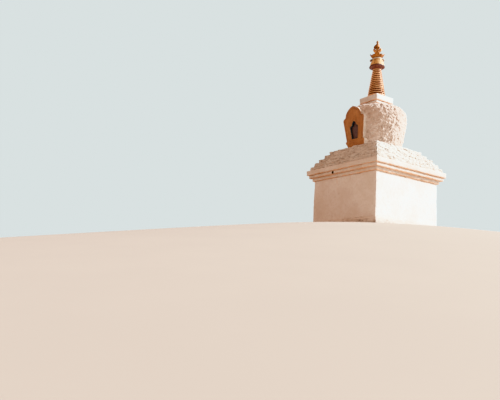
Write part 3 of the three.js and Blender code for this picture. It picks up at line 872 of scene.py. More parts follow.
@dataclass(frozen=True)
class SquareCourse:
    """One square course of masonry, with soft edges and a fine mesh where it shows."""

    node: str
    relief: Relief
    cell: float
    show_under: float = 0.0
    show_top: float = 0.0
    sink_under: float = 0.0
    sink_top: float = 0.0
    corner: float = 0.02
    arris: float = 0.012
    hole: Triple | None = None  # X, Z and radius
    hole_depth: float = 0.14

    def path(self, half: float) -> tuple[Array, Array]:
        """Runs round a square with rounded corners: each side, then an arc about the corner's centre.

        Args:
            half: half the width over the faces.

        Returns:
            The points, and each one's closeness to a corner.
        """
        inner = half - self.corner
        along = np.linspace(-inner, inner, int(2 * inner / self.cell) + 1)
        if self.hole is not None:
            x, _, radius = self.hole
            fine = np.linspace(-1.7 * radius, 1.7 * radius, 27)
            along = np.unique(np.concatenate([along[np.abs(along - x) > 1.8 * radius], x + fine]))
        side = np.stack([np.full_like(along, half), along], axis=-1)
        arc = inner + self.corner * np.stack([np.cos(CORNER_TURN), np.sin(CORNER_TURN)], axis=-1)
        quarter = np.concatenate([side, arc])
        angles = np.arange(4) * math.pi / 2
        spins = [np.array([[math.cos(a), math.sin(a)], [-math.sin(a), math.cos(a)]]) for a in angles]
        near = np.concatenate([bell(np.abs(along), inner, EDGE_WIDTH), np.ones(len(CORNER_TURN))])
        return np.concatenate([quarter @ spin for spin in spins]), np.tile(near, 4)

    def ledge(self, shown: float, half: float) -> Array:
        """Gives insets from an edge to the centre, fine as far as the ledge shows.

        Args:
            shown: how far in the ledge shows.
            half: half the width over the faces.

        Returns:
            The insets, without the edge's own.
        """
        shown = max(shown, 2 * self.cell)
        fine = np.linspace(self.arris, shown, int(shown / self.cell) + 2)
        return np.concatenate([fine[1:], [0.5 * (shown + half), 0.96 * half]])

    def profile(self, half: float, low: float, high: float) -> Array:
        """Runs from the centre of the underside, round both edges, to the centre of the top.

        Args:
            half: half the width over the faces.
            low: level of the underside.
            high: level of the top.

        Returns:
            For each ring its inset from the face, its level and its closeness to an edge.
        """
        levels = np.linspace(low + self.arris, high - self.arris, max(3, int((high - low) / self.cell)))
        if self.hole is not None:
            _, z, radius = self.hole
            fine = z + np.linspace(-1.5 * radius, 1.5 * radius, 25)
            fine = fine[(fine > levels[0]) & (fine < levels[-1])]
            levels = np.concatenate([levels[:1], fine, levels[-1:]])
        turn = np.radians([0.0, 30.0, 60.0, 90.0])
        reach, drop = self.arris * (1 - np.sin(turn)), self.arris * (1 - np.cos(turn))
        under, over = self.ledge(self.show_under, half)[::-1], self.ledge(self.show_top, half)
        inset = np.concatenate([under, reach, np.zeros(len(levels) - 2), drop, over])
        level = np.concatenate([0 * under + low, low + drop, levels[1:-1], high - reach, 0 * over + high])
        gap = np.maximum(np.minimum(level - low, high - level), inset)
        return np.column_stack([inset, level, bell(gap, 0.0, EDGE_WIDTH)])

    def build(self, slot: Slot, material: Material) -> None:
        """Scales the path for each ring, pushes it by the relief and lets the hole in.

        Args:
            slot: the record's slot; not used.
            material: the finish.
        """
        low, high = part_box(self.node)
        half = high.x
        path, near_corner = self.path(half)
        inset, level, near_edge = self.profile(half, low.z - self.sink_under, high.z + self.sink_top).T
        rings = stacked(((half - inset) / half)[:, None, None] * path, level)
        upright = (inset < self.arris)[:, None]
        edge = np.maximum(near_edge[:, None], near_corner * upright)
        heights, dirt_and_shade = self.relief.heights(rings, edge)
        if low.z < 0.001:  # the underside stays flat on the ground
            heights = heights * (level > 0.002)[:, None]
        if self.hole is not None:
            x, z, radius = self.hole
            away = np.hypot(rings[..., 0] - x, rings[..., 2] - z) / radius
            front = rings[..., 1] < 0
            heights = heights - self.hole_depth * front * (1.0 - smoothstep(0.86, 1.05, away))
            # A dirt_and_shade value above 1 tells the finish to paint the near-black shade inside a hole.
            dirt_and_shade = np.maximum(dirt_and_shade, 3.0 * front * (1.0 - smoothstep(1.0, 1.2, away)))
        add_piece(f"{self.node}_masonry", self.node, material, rings, dirt_and_shade, heights)


@dataclass(frozen=True)
class Masonry:
    """The square stonework: throne, steps and harmika."""

    steps: int = 5
    hole: Triple = (-0.372, 2.065, 0.046)  # X, Z and radius

    def throne(self) -> None:
        """Makes the courses from the ground to the cornice, with soil at the foot and stains above."""
        for course in (
            SquareCourse("base_course", Relief(1), 0.034, show_top=0.08),
            SquareCourse("base_band_outer", Relief(2), 0.034, show_top=0.11, sink_under=0.01),
            SquareCourse("base_band_inner", Relief(3), 0.034, show_top=0.07, sink_under=0.01),
            SquareCourse(
                "throne_wall", Relief(4, swell=0.009, lump=0.005), 0.026, sink_under=0.01, sink_top=0.01
            ),
            SquareCourse("cornice_band_inner", Relief(5), 0.02, show_under=0.07, sink_top=0.01),
            SquareCourse(
                "cornice_band_outer", Relief(6), 0.02, show_under=0.11, sink_top=0.01, hole=self.hole
            ),
            SquareCourse("cornice_fascia", Relief(7, chip=0.022), 0.02, show_under=0.08, show_top=0.1),
        ):
            node = course.node
            low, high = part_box(node)
            # a whiter wash on the wall: painted light that makes up for the shade under the cornice
            lit_wall_tones = {"fresh": (0.86, 0.83, 0.79), "aged": (0.76, 0.69, 0.62)} if node == "throne_wall" else {}
            finish = Limewash(
                f"{node}_limewash",
                # the cornice courses get the foot line: painted warm bounce light under each ledge, partly
                # staining
                stain_and_bounce_level=low.z + 0.002 if "cornice" in node else None,
                run_top=high.z if node in ("throne_wall", "cornice_fascia") else None,
                foot_soil=0.35 if low.z < 0.5 else 0.0,
                **lit_wall_tones,
            )
            course.build(Slot.PLASTER, finish.build())

    def rubble_steps(self) -> None:
        """Makes the steps of limewashed field stones."""
        for step in range(1, self.steps + 1):
            node = f"step_{step}"
            relief = RubbleRelief(20 + step, swell=0.008, lump=0.004, chip=0.03)
            course = SquareCourse(node, relief, 0.02, show_top=0.16, sink_under=SINK, arris=0.018)
            finish = Limewash(
                f"{node}_limewash",
                fresh=(0.76, 0.715, 0.655),
                aged=(0.61, 0.53, 0.455),
                # the step's foot line: painted warm bounce light and shade where it sits on the step below,
                # partly staining
                stain_and_bounce_level=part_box(node)[0].z + 0.004,
                stain_and_bounce_height=0.022,
            )
            course.build(Slot.RUBBLE, finish.build())

    def harmika(self) -> None:
        """Makes the two courses and the slab on top of the dome."""
        rows = (("lower_course", 0.0, 0.03), ("upper_course", 0.05, 0.0), ("slab", 0.06, 0.0))
        for k, (name, show_under, sink_under) in enumerate(rows):
            node = f"harmika_{name}"
            relief = Relief(52 + k, swell=0.004, lump=0.0022, chip=0.012)
            course = SquareCourse(node, relief, 0.012, show_under, 0.1, sink_under, corner=0.012, arris=0.009)
            finish = Limewash(
                f"{node}_limewash",
                fresh=(0.80, 0.78, 0.74),
                aged=(0.66, 0.60, 0.54),
                # the foot line of each harmika course: painted warm bounce light and shade, partly staining
                stain_and_bounce_level=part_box(node)[0].z + 0.001,
                stain_and_bounce_height=0.034,
            )
            course.build(Slot.PLASTER, finish.build())

    def build(self) -> None:
        """Makes every course."""
        self.throne()
        self.rubble_steps()
        self.harmika()


@dataclass(frozen=True)
class Dome:
    """The vase-shaped dome: a body that flares upward and a rounded shoulder."""

    foot_radius: float = 0.905
    widest_radius: float = 1.087
    neck_radius: float = 0.560
    body_height: float = 1.100
    shoulder_height: float = 0.440
    body_power: float = 1.5
    shoulder_power: float = 2.2
    pocket_depth: float = 0.12
    pocket_side: Pair = (0.20, 0.24)  # from the middle: full depth to the first, none beyond the second
    pocket_foot: Pair = (3.30, 3.345)  # levels: no depth below the first, full above the second
    pocket_top: Pair = (4.02, 4.07)  # levels: full depth below the first, none above the second
    pole_radius: float = 0.02  # the last ring before a pole
    around: int = 540

    def foot(self) -> float:
        """Gives the level of the dome's foot."""
        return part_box("dome")[0].z

    def radius(self, level: Array) -> Array:
        """Gives the radius at a level: a power curve in the body, a superellipse over the shoulder.

        Args:
            level: heights above the ground.

        Returns:
            The radii.
        """
        rise = held((level - self.foot()) / self.body_height)
        flare = 1 - (1 - rise) ** self.body_power
        body = self.foot_radius + (self.widest_radius - self.foot_radius) * flare
        up = held((level - self.foot() - self.body_height) / self.shoulder_height)
        across = (1 - up**self.shoulder_power) ** (1 / self.shoulder_power)
        shoulder = self.neck_radius + (self.widest_radius - self.neck_radius) * across
        return np.where(up > 0, shoulder, body)

    def daub(self) -> None:
        """Makes the dome's rough skin, from the pole of its underside to that of its top."""
        waist = self.foot() + self.body_height
        body = np.linspace(self.foot() - SINK, waist, 84)
        turn = np.linspace(0.0, math.pi / 2, 46)[1:]
        across = np.maximum(np.cos(turn), 0.0) ** (2 / self.shoulder_power)
        shoulder = self.neck_radius + (self.widest_radius - self.neck_radius) * across
        up = waist + self.shoulder_height * np.sin(turn) ** (2 / self.shoulder_power)
        top = np.linspace(self.neck_radius, self.pole_radius, 26)[1:]
        radii = np.concatenate([[self.pole_radius, 0.5], self.radius(body), shoulder, top])
        levels = np.concatenate([body[[0, 0]], body, up, 0 * top + up[-1]])
        rings = lathe(radii, levels, self.around)
        relief = DaubRelief(60, swell=0.010, swell_size=0.6, lump=0.007, lump_size=0.16)
        heights, dirt_and_shade = relief.heights(rings, np.zeros(rings.shape[:2]))
        heights = heights - self.pocket_depth * self.pocket(rings)
        # a darker, pinker copy of the throne's wash: painted warm shade, laid over the whole dome
        finish = Limewash("dome_limewash_painted_shade", (0.75, 0.655, 0.58), (0.62, 0.495, 0.41))
        add_piece("dome_daub", "dome", finish.build(), rings, dirt_and_shade, heights)

    def pocket(self, rings: Rings) -> Array:
        """Marks where the niche's recess goes into the front of the dome, with soft sides.

        Args:
            rings: the dome's surface.

        Returns:
            1 in the pocket and 0 outside it, for each point.
        """
        x, y, z = rings[..., 0], rings[..., 1], rings[..., 2]
        side = 1.0 - smoothstep(*self.pocket_side, np.abs(x))
        below = 1.0 - smoothstep(*self.pocket_top, z)
        return side * smoothstep(*self.pocket_foot, z) * below * (y < 0)

    def base(self) -> None:
        """Makes the low round course under the dome, with a worn upper edge."""
        low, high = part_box("dome_base")
        radius, foot, pole = high.x, low.z - SINK, self.pole_radius
        profile = [(pole, foot), (radius - 0.012, foot), (radius, low.z), (radius, high.z - 0.014)]
        profile += [(radius - 0.014, high.z), (0.85, high.z), (pole, high.z)]
        rings = turned(profile, 0.0, 0.02, 320)
        level = rings[..., 2]
        edge = bell(level, high.z, EDGE_WIDTH) * (level < high.z - 0.001)
        heights, dirt_and_shade = Relief(66, chip=0.02).heights(rings, edge)
        # the ring's foot line: painted warm bounce light and shade at its foot, partly staining
        finish = Limewash("dome_base_limewash", stain_and_bounce_level=low.z)
        add_piece("dome_base_plaster", "dome_base", finish.build(), rings, dirt_and_shade, heights)

    def build(self) -> None:
        """Makes the dome and the round course under it."""
        self.daub()
        self.base()


def control_curve(points: list[Pair], count: int) -> Array:
    """Samples a curve that its points pull on: each one's weight is a term of a binomial power.

    Args:
        points: the control points, two for a straight line.
        count: number of samples, without the last point.

    Returns:
        The samples.
    """
    share = np.linspace(0.0, 1.0, count, endpoint=False)[:, None]
    degree = len(points) - 1
    total = np.zeros((count, 2))
    for k, point in enumerate(points):
        weight = math.comb(degree, k) * share**k * (1 - share) ** (degree - k)
        total += weight * np.array(point)
    return total


def mirrored(curves: list[tuple[list[Pair], int]]) -> Array:
    """Joins the curves of a half outline, which starts on the centre line, and mirrors them to the left.

    Args:
        curves: control points and number of samples of each curve. The last point is the peak.

    Returns:
        Points x and height, from the foot's middle round to it again.
    """
    right = np.concatenate([control_curve(points, count) for points, count in curves])
    peak = curves[-1][0][-1]
    return np.concatenate([right, [peak], right[1:][::-1] * (-1.0, 1.0)])


def gable_outline(inset: float) -> Array:
    """Draws the gable: spreading legs, a shoulder, a notch, a round lobe and a flat ogee peak.

    Args:
        inset: how far the outline is drawn inward.

    Returns:
        Points x and height above the gable's foot.
    """
    i, foot = inset, -0.012
    heel, shoulder, neck = (0.394 - i, foot), (0.506 - i, 0.756), (0.452 - i, 0.836)
    notch, lobe = (0.372 - i, 0.872 - 0.5 * i), (0.250 - 0.8 * i, 1.110 - 0.7 * i)
    return mirrored(
        [
            ([(0.0, foot), heel], 12),
            ([heel, (0.426 - i, 0.240), (0.472 - i, 0.520), shoulder], 26),
            ([shoulder, (0.502 - i, 0.812), neck], 8),
            ([neck, (0.388 - i, 0.850), notch], 6),
            ([notch, (0.388 - i, 0.960), (0.330 - i, 1.040), lobe], 14),
            ([lobe, (0.192 - 0.6 * i, 1.166 - i), (0.080, 1.206 - i), (0.0, 1.233 - 1.3 * i)], 14),
        ]
    )


def opening_outline(inset: float) -> Array:
    """Draws the opening: jambs that spread upward, round shoulders and an ogee top.

    Args:
        inset: how far the outline is drawn inward.

    Returns:
        Points x and height above the gable's foot, matched one by one with those of the gable.
    """
    i, foot = inset, max(0.036 + inset, -0.014)
    heel, shoulder = (0.150 - i, foot), (0.206 - i, 0.440)
    neck, notch = (0.162 - i, 0.518 - i), (0.107 - i, 0.560 - i)
    return mirrored(
        [
            ([(0.0, foot), heel], 12),
            ([heel, shoulder], 30),
            ([shoulder, (0.210 - i, 0.496 - 0.5 * i), neck], 10),
            ([neck, (0.112 - i, 0.526 - i), notch], 8),
            ([notch, (0.108 - i, 0.622 - i), (0.056 - 0.5 * i, 0.656 - i), (0.0, 0.692 - 1.3 * i)], 20),
        ]
    )


def masonry_outline() -> Array:
    """Draws the masonry behind the gable: its legs and peak, but a plain shoulder without the notch.

    Returns:
        Points x and height above the gable's foot, matched one by one with those of the opening.
    """
    heel, shoulder, neck, lobe = (0.384, 0.010), (0.496, 0.756), (0.338, 0.992), (0.242, 1.103)
    return mirrored(
        [
            ([(0.0, 0.010), heel], 12),
            ([heel, (0.416, 0.240), (0.462, 0.520), shoulder], 26),
            ([shoulder, (0.492, 0.860), (0.420, 0.930), neck], 20),
            ([neck, (0.300, 1.055), lobe], 8),
            ([lobe, (0.184, 1.156), (0.076, 1.195), (0.0, 1.221)], 14),
        ]
    )


@dataclass(frozen=True)
class Niche:
    """The gabled niche on the dome's front, which leans outward with the dome."""

    dome: Dome
    lean: float = math.radians(7.0)
    face: float = -1.033
    front_depth: float = 0.045
    frame_depth: Pair = (0.012, 0.074)
    panel_depth: Pair = (0.0765, 0.094)
    board: float = 0.062
    block_back: float = -0.80
    seat_gap: float = 0.0003
    lining_back: float = 0.093
    body_overlap: float = 0.05  # how far the masonry runs into the dome

    def foot_top(self) -> float:
        """Gives the level on which the gable stands."""
        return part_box("niche_foot")[1].z

    def placed(self, outline: Array, depth: Array | float) -> Array:
        """Leans outline points: x stays, and height and depth turn about the foot of the face.

        Args:
            outline: x and height above the gable's foot.
            depth: distance behind the face.

        Returns:
            The points in the object's frame.
        """
        x, up = outline[..., 0], outline[..., 1]
        y = self.face + depth * math.cos(self.lean) - up * math.sin(self.lean)
        z = self.foot_top() + depth * math.sin(self.lean) + up * math.cos(self.lean)
        return np.stack([x, y, z], axis=-1)

    def front(self) -> None:
        """Makes the ochre front: a half-round rim, a thin bead, the field, and the opening's surround."""
        rim = [(0.002, 0.044), (0.0, 0.040), (0.0, 0.014), (0.0, 0.0), (0.0, -0.006)]
        turn = np.linspace(0.1, math.pi - 0.1, 10)
        rim += [(0.019 - 0.019 * math.cos(t), -0.004 - 0.010 * math.sin(t)) for t in turn]
        bead = [(0.040, 0.0), (0.047, 0.0), (0.051, -0.004), (0.055, -0.005), (0.059, -0.004), (0.063, 0.0)]
        surround = [(-0.050, 0.0), (-0.046, -0.001), (-0.044, -0.005), (-0.040, -0.008), (-0.030, -0.009)]
        surround += [(-0.018, -0.007), (-0.014, -0.006), (-0.010, -0.0085), (-0.005, -0.009)]
        surround += [(-0.001, -0.006), (0.0, 0.0), (0.0, 0.012), (0.0, 0.028), (-0.001, 0.044)]
        outer, inner = gable_outline(0.070), opening_outline(-0.060)
        rings = [self.placed(gable_outline(inset), depth) for inset, depth in rim + bead]
        rings += [self.placed(outer + share * (inner - outer), 0.0) for share in np.linspace(0.0, 1.0, 16)]
        rings += [self.placed(opening_outline(inset), depth) for inset, depth in surround]
        rings = np.stack(rings)
        edge = np.zeros(rings.shape[:2])
        rim_rings, inner_lip = slice(1, 15), slice(-8, -3)
        edge[rim_rings] = 0.5
        edge[inner_lip] = 0.35
        relief = Relief(
            70, swell=0.003, swell_size=0.3, lump=0.0018, lump_size=0.06, chip=0.010, chip_size=0.09
        )
        heights, dirt_and_shade = relief.heights(rings, edge)
        groove = np.zeros((len(rings), 1))
        seams = [15, 16, 21, 22, 37, 38]  # where the bead, the field and the surround start
        groove[seams] = 0.8
        dirt_and_shade = held(0.7 * dirt_and_shade + 0.7 * groove)
        turn_back = (self.face, -math.tan(self.lean), self.foot_top())
        ochre = Ochre("niche_front_ochre", turn_back, (0.004, 0.010)).build()
        add_piece("niche_front_gable", "niche_front", ochre, rings, dirt_and_shade, heights, looped=True)

    def body(self) -> None:
        """Makes the white masonry behind the gable, which runs back until it is inside the dome."""
        outline = masonry_outline()
        depth = np.full(len(outline), 0.2)
        # Each pass corrects the depth by what is still missing to a place inside the dome.
        for _ in range(4):
            point = self.placed(outline, depth)
            reach = np.sqrt(np.maximum(self.dome.radius(point[:, 2]) ** 2 - point[:, 0] ** 2, 0.01))
            missing = self.body_overlap - reach - point[:, 1]
            depth = np.clip(depth + missing / math.cos(self.lean), 0.06, 0.42)
        start = self.front_depth + self.seat_gap
        rings = [self.placed(outline, start + share * (depth - start)) for share in np.linspace(0.0, 1.0, 20)]
        rings += [self.placed(opening_outline(-0.004), inner) for inner in (self.lining_back, start)]
        rings = np.stack(rings)
        heights, dirt_and_shade = Relief(74, swell=0.004, lump=0.004).heights(rings, np.zeros(rings.shape[:2]))
        heights[[0, -2, -1]] = 0.0
        wash = Limewash("niche_body_limewash", (0.76, 0.69, 0.61), (0.64, 0.54, 0.45)).build()
        add_piece("niche_body_masonry", "niche_body", wash, rings, dirt_and_shade, heights, looped=True)

    def frame(self) -> None:
        """Makes the moulded dark frame in the opening."""
        near, far = self.frame_depth
        rows = [(0.0006, far), (0.0006, near + 0.003), (0.003, near), (0.010, near)]
        rows += [(0.0125, near + 0.005), (0.0165, near + 0.0065), (0.0205, near + 0.005)]
        rows += [(0.022, near + 0.002), (0.0275, near + 0.0025), (0.030, near + 0.006)]
        rows += [(0.030, near + 0.03), (0.030, far)]
        rings = np.stack([self.placed(opening_outline(inset), depth) for inset, depth in rows])
        dirt_and_shade = np.zeros(rings.shape[:2])
        hollows = [4, 5, 6, 10]  # the groove, and the middle of the inner side
        dirt_and_shade[hollows] = 0.7
        dark = Timber("niche_frame_paint", (0.045, 0.085, 0.115), (0.08, 0.115, 0.14), 0.4).build()
        add_piece("niche_frame_moulding", "niche_frame", dark, rings, dirt_and_shade, looped=True)

    def panel(self) -> None:
        """Makes the panel: rings shrink about its middle, and grooves run between its upright boards."""
        near, far = self.panel_depth
        middle = np.array([0.0, 0.33])
        shares = np.concatenate([np.linspace(0.04, 0.98, 30), [1.0, 1.0, 0.98, 0.5, 0.04]])
        depths = np.concatenate([np.full(30, near), [near + 0.002, far - 0.002, far, far, far]])[:, None]
        outlines = middle + shares[:, None, None] * (opening_outline(0.0006) - middle)
        seam = np.abs((outlines[..., 0] / self.board + 0.5) % 1.0 - 0.5)
        groove = (1.0 - smoothstep(0.03, 0.09, seam)) * (depths < near + 0.001)
        rings = self.placed(outlines, depths + 0.004 * groove)
        dirt_and_shade = (1.0 - smoothstep(0.03, 0.13, seam)) * 0.9
        brown = Timber("niche_panel_boards", (0.152, 0.114, 0.124), (0.215, 0.163, 0.172), 0.55).build()
        add_piece("niche_panel_boards", "niche_panel", brown, rings, dirt_and_shade)

    def foot(self) -> None:
        """Makes the foot block: an upright head, and sides that taper to a narrower foot."""
        low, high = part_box("niche_foot")
        top_half, foot_half, head = 0.445, 0.385, 0.060
        top_face, foot_face = self.face - 0.010, self.face + 0.050
        profile = [(0.06, low.z), (0.0, low.z + 0.006), (0.0, high.z - head - 0.006)]
        profile += [(0.0, high.z - head + 0.004), (0.0, high.z - 0.010), (0.010, high.z)]
        profile += [(0.20, high.z), (0.34, high.z)]
        rows = np.array(profile)
        # The third column lengthens the tapering span, which gives it most of the points.
        steps = np.diff(np.column_stack([rows, [1.0, 1.0] + [0.0] * 6]), axis=0)
        length = np.concatenate([[0.0], np.cumsum(np.linalg.norm(steps, axis=1))])
        places = np.unique(np.concatenate([length, np.linspace(0.0, length[-1], 90)]))
        inset, level = (np.interp(places, length, column) for column in rows.T)
        taper = held((high.z - head - level) / (high.z - head - low.z))
        half = top_half - (top_half - foot_half) * taper - inset
        front = top_face + (foot_face - top_face) * taper + inset
        rings = self.block(half, front, level, corner=0.016)
        out = np.abs(rings[..., 0])
        corner = bell(out, out.max(axis=1)[:, None], 0.02) * (inset < 0.02)[:, None]
        edge = np.maximum(bell(np.minimum(level - low.z, high.z - level), 0.0, 0.02)[:, None], 0.5 * corner)
        heights, dirt_and_shade = Relief(80, swell=0.004, lump_size=0.08, chip=0.012).heights(rings, edge)
        ochre = Ochre("niche_foot_ochre", (foot_face + 0.012, -0.375, low.z)).build()
        add_piece("niche_foot_block", "niche_foot", ochre, rings, dirt_and_shade, heights)

    def plinth(self) -> None:
        """Makes the thin plinth under the foot block, rounded at its edges."""
        low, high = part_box("niche_plinth")
        inset = np.array([0.3, 0.1, 0.01, 0.0, 0.0, 0.0, 0.0, 0.01, 0.1, 0.3])
        share = np.array([0.0, 0.0, 0.0, 0.2, 0.4, 0.6, 0.8, 1.0, 1.0, 1.0])
        level = low.z - SINK + share * (high.z - low.z + 0.016)
        rings = self.block(0.400 - inset, self.face + 0.030 + inset, level, corner=0.012)
        edge = np.broadcast_to(0.5 * bell(inset, 0.0, 0.02)[:, None], rings.shape[:2])
        heights, dirt_and_shade = Relief(84, chip=0.012).heights(rings, edge)
        wash = Limewash("niche_plinth_limewash").build()
        add_piece("niche_plinth_plaster", "niche_plinth", wash, rings, dirt_and_shade, heights)

    def block(self, half: Array, front: Array, level: Array, corner: float) -> Rings:
        """Stacks rectangles with rounded front corners: sides, arcs about the corners' centres, and front.

        Args:
            half: half width of each rectangle.
            front: place of each front edge.
            level: height of each rectangle.
            corner: radius of the front corners.

        Returns:
            The rings.
        """
        share = np.linspace(0.0, 1.0, 24)[:, None]
        turn = CORNER_TURN[:, None]
        inner, near = half - corner, front + corner
        side_y = self.block_back + share * (near - self.block_back)
        right_x = np.concatenate([0 * share + half, inner + corner * np.cos(turn)])
        right_y = np.concatenate([side_y, near - corner * np.sin(turn)])
        front_x = inner - np.linspace(0.0, 1.0, 60)[:, None] * 2 * inner
        x = np.concatenate([right_x, front_x, -right_x[::-1]])
        y = np.concatenate([right_y, 0 * front_x + front, right_y[::-1]])
        return np.stack([x, y, np.broadcast_to(level, x.shape)], axis=-1).transpose(1, 0, 2)

    def build(self) -> None:
        """Makes every piece of the niche."""
        self.foot()
        self.plinth()
        self.body()
        self.front()
        self.frame()
        self.panel()


@dataclass(frozen=True)
class Spire:
    """The base roll and the ringed cone of gilded sheet."""

    rings: int = 13
    around: int = 144
    groove: float = 0.045
    groove_step: float = 0.0014
    bold_rings: tuple[int, ...] = (1, 2, 3)
    bold_cut: float = 0.42
    cut: float = 0.27
    proud: float = 0.0015  # how far the sheet stands out from the solid

    def ring_profile(self, node: str, groove: float, cut: float) -> tuple[Array, Array, Array]:
        """Draws one ring: a groove, a thin folded lip, and a round swell above it.

        Args:
            node: the CAD node that gives the ring's box.
            groove: how deep the groove between rings is.
            cut: the share of the ring's height that the groove takes up.

        Returns:
            Radii, levels, and the darkening along the profile: sooty black and painted shade in the groove.
        """
        low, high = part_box(node)
        share = np.linspace(0.0, 1.0, 30)
        swell = np.sin(math.pi * held((share - cut) / (1.0 - cut))) ** 0.8
        depth = groove * (1.0 - np.maximum(swell, 0.3 * bell(share, 0.09, 0.045)))
        radii = high.x - depth + self.proud
        # darker deep in the groove: partly sooty, partly painted shade that draws the grooves as dark lines
        dirt_and_shade = held(2.0 * depth / groove - 0.3)
        radii = np.concatenate([[POLE, radii[0] - 0.01], radii, [radii[-1] - 0.01, POLE]])
        levels = np.concatenate([[low.z] * 2, low.z + share * (high.z - low.z), [high.z] * 2])
        return radii, levels, np.concatenate([[1.0, 1.0], dirt_and_shade, [1.0, 1.0]])

    def build(self) -> None:
        """Makes the base roll and each ring, slightly dented by hand."""
        gilt = Gilding(
            "spire_gilding",
            gold=(0.93, 0.56, 0.30),
            copper=(0.62, 0.28, 0.16),
            soot_and_shade=(0.15, 0.055, 0.05),
            metal=0.95,
            wear=0.5,
            lacquer=1.0,
            lacquer_matt=0.30,
            matt=(0.30, 0.44),
        ).build()
        names = ["spire_base"] + [f"spire_ring_{k:02d}" for k in range(1, self.rings + 1)]
        for k, node in enumerate(names):
            cut = self.bold_cut if k in self.bold_rings else self.cut
            radii, levels, dirt_and_shade = self.ring_profile(node, self.groove - self.groove_step * k, cut)
            rings = lathe(radii, levels, self.around)
            heights = dents(rings, 0.0022, seed=100 + k, size=0.14)
            heights += dents(rings, 0.0008, seed=130 + k, size=0.035)
            soot_and_shade = soil_and_shade(rings, dirt_and_shade[:, None], 0.18, seed=160, size=0.2)
            add_piece(f"{node}_sheet", node, gilt, rings, soot_and_shade, heights)


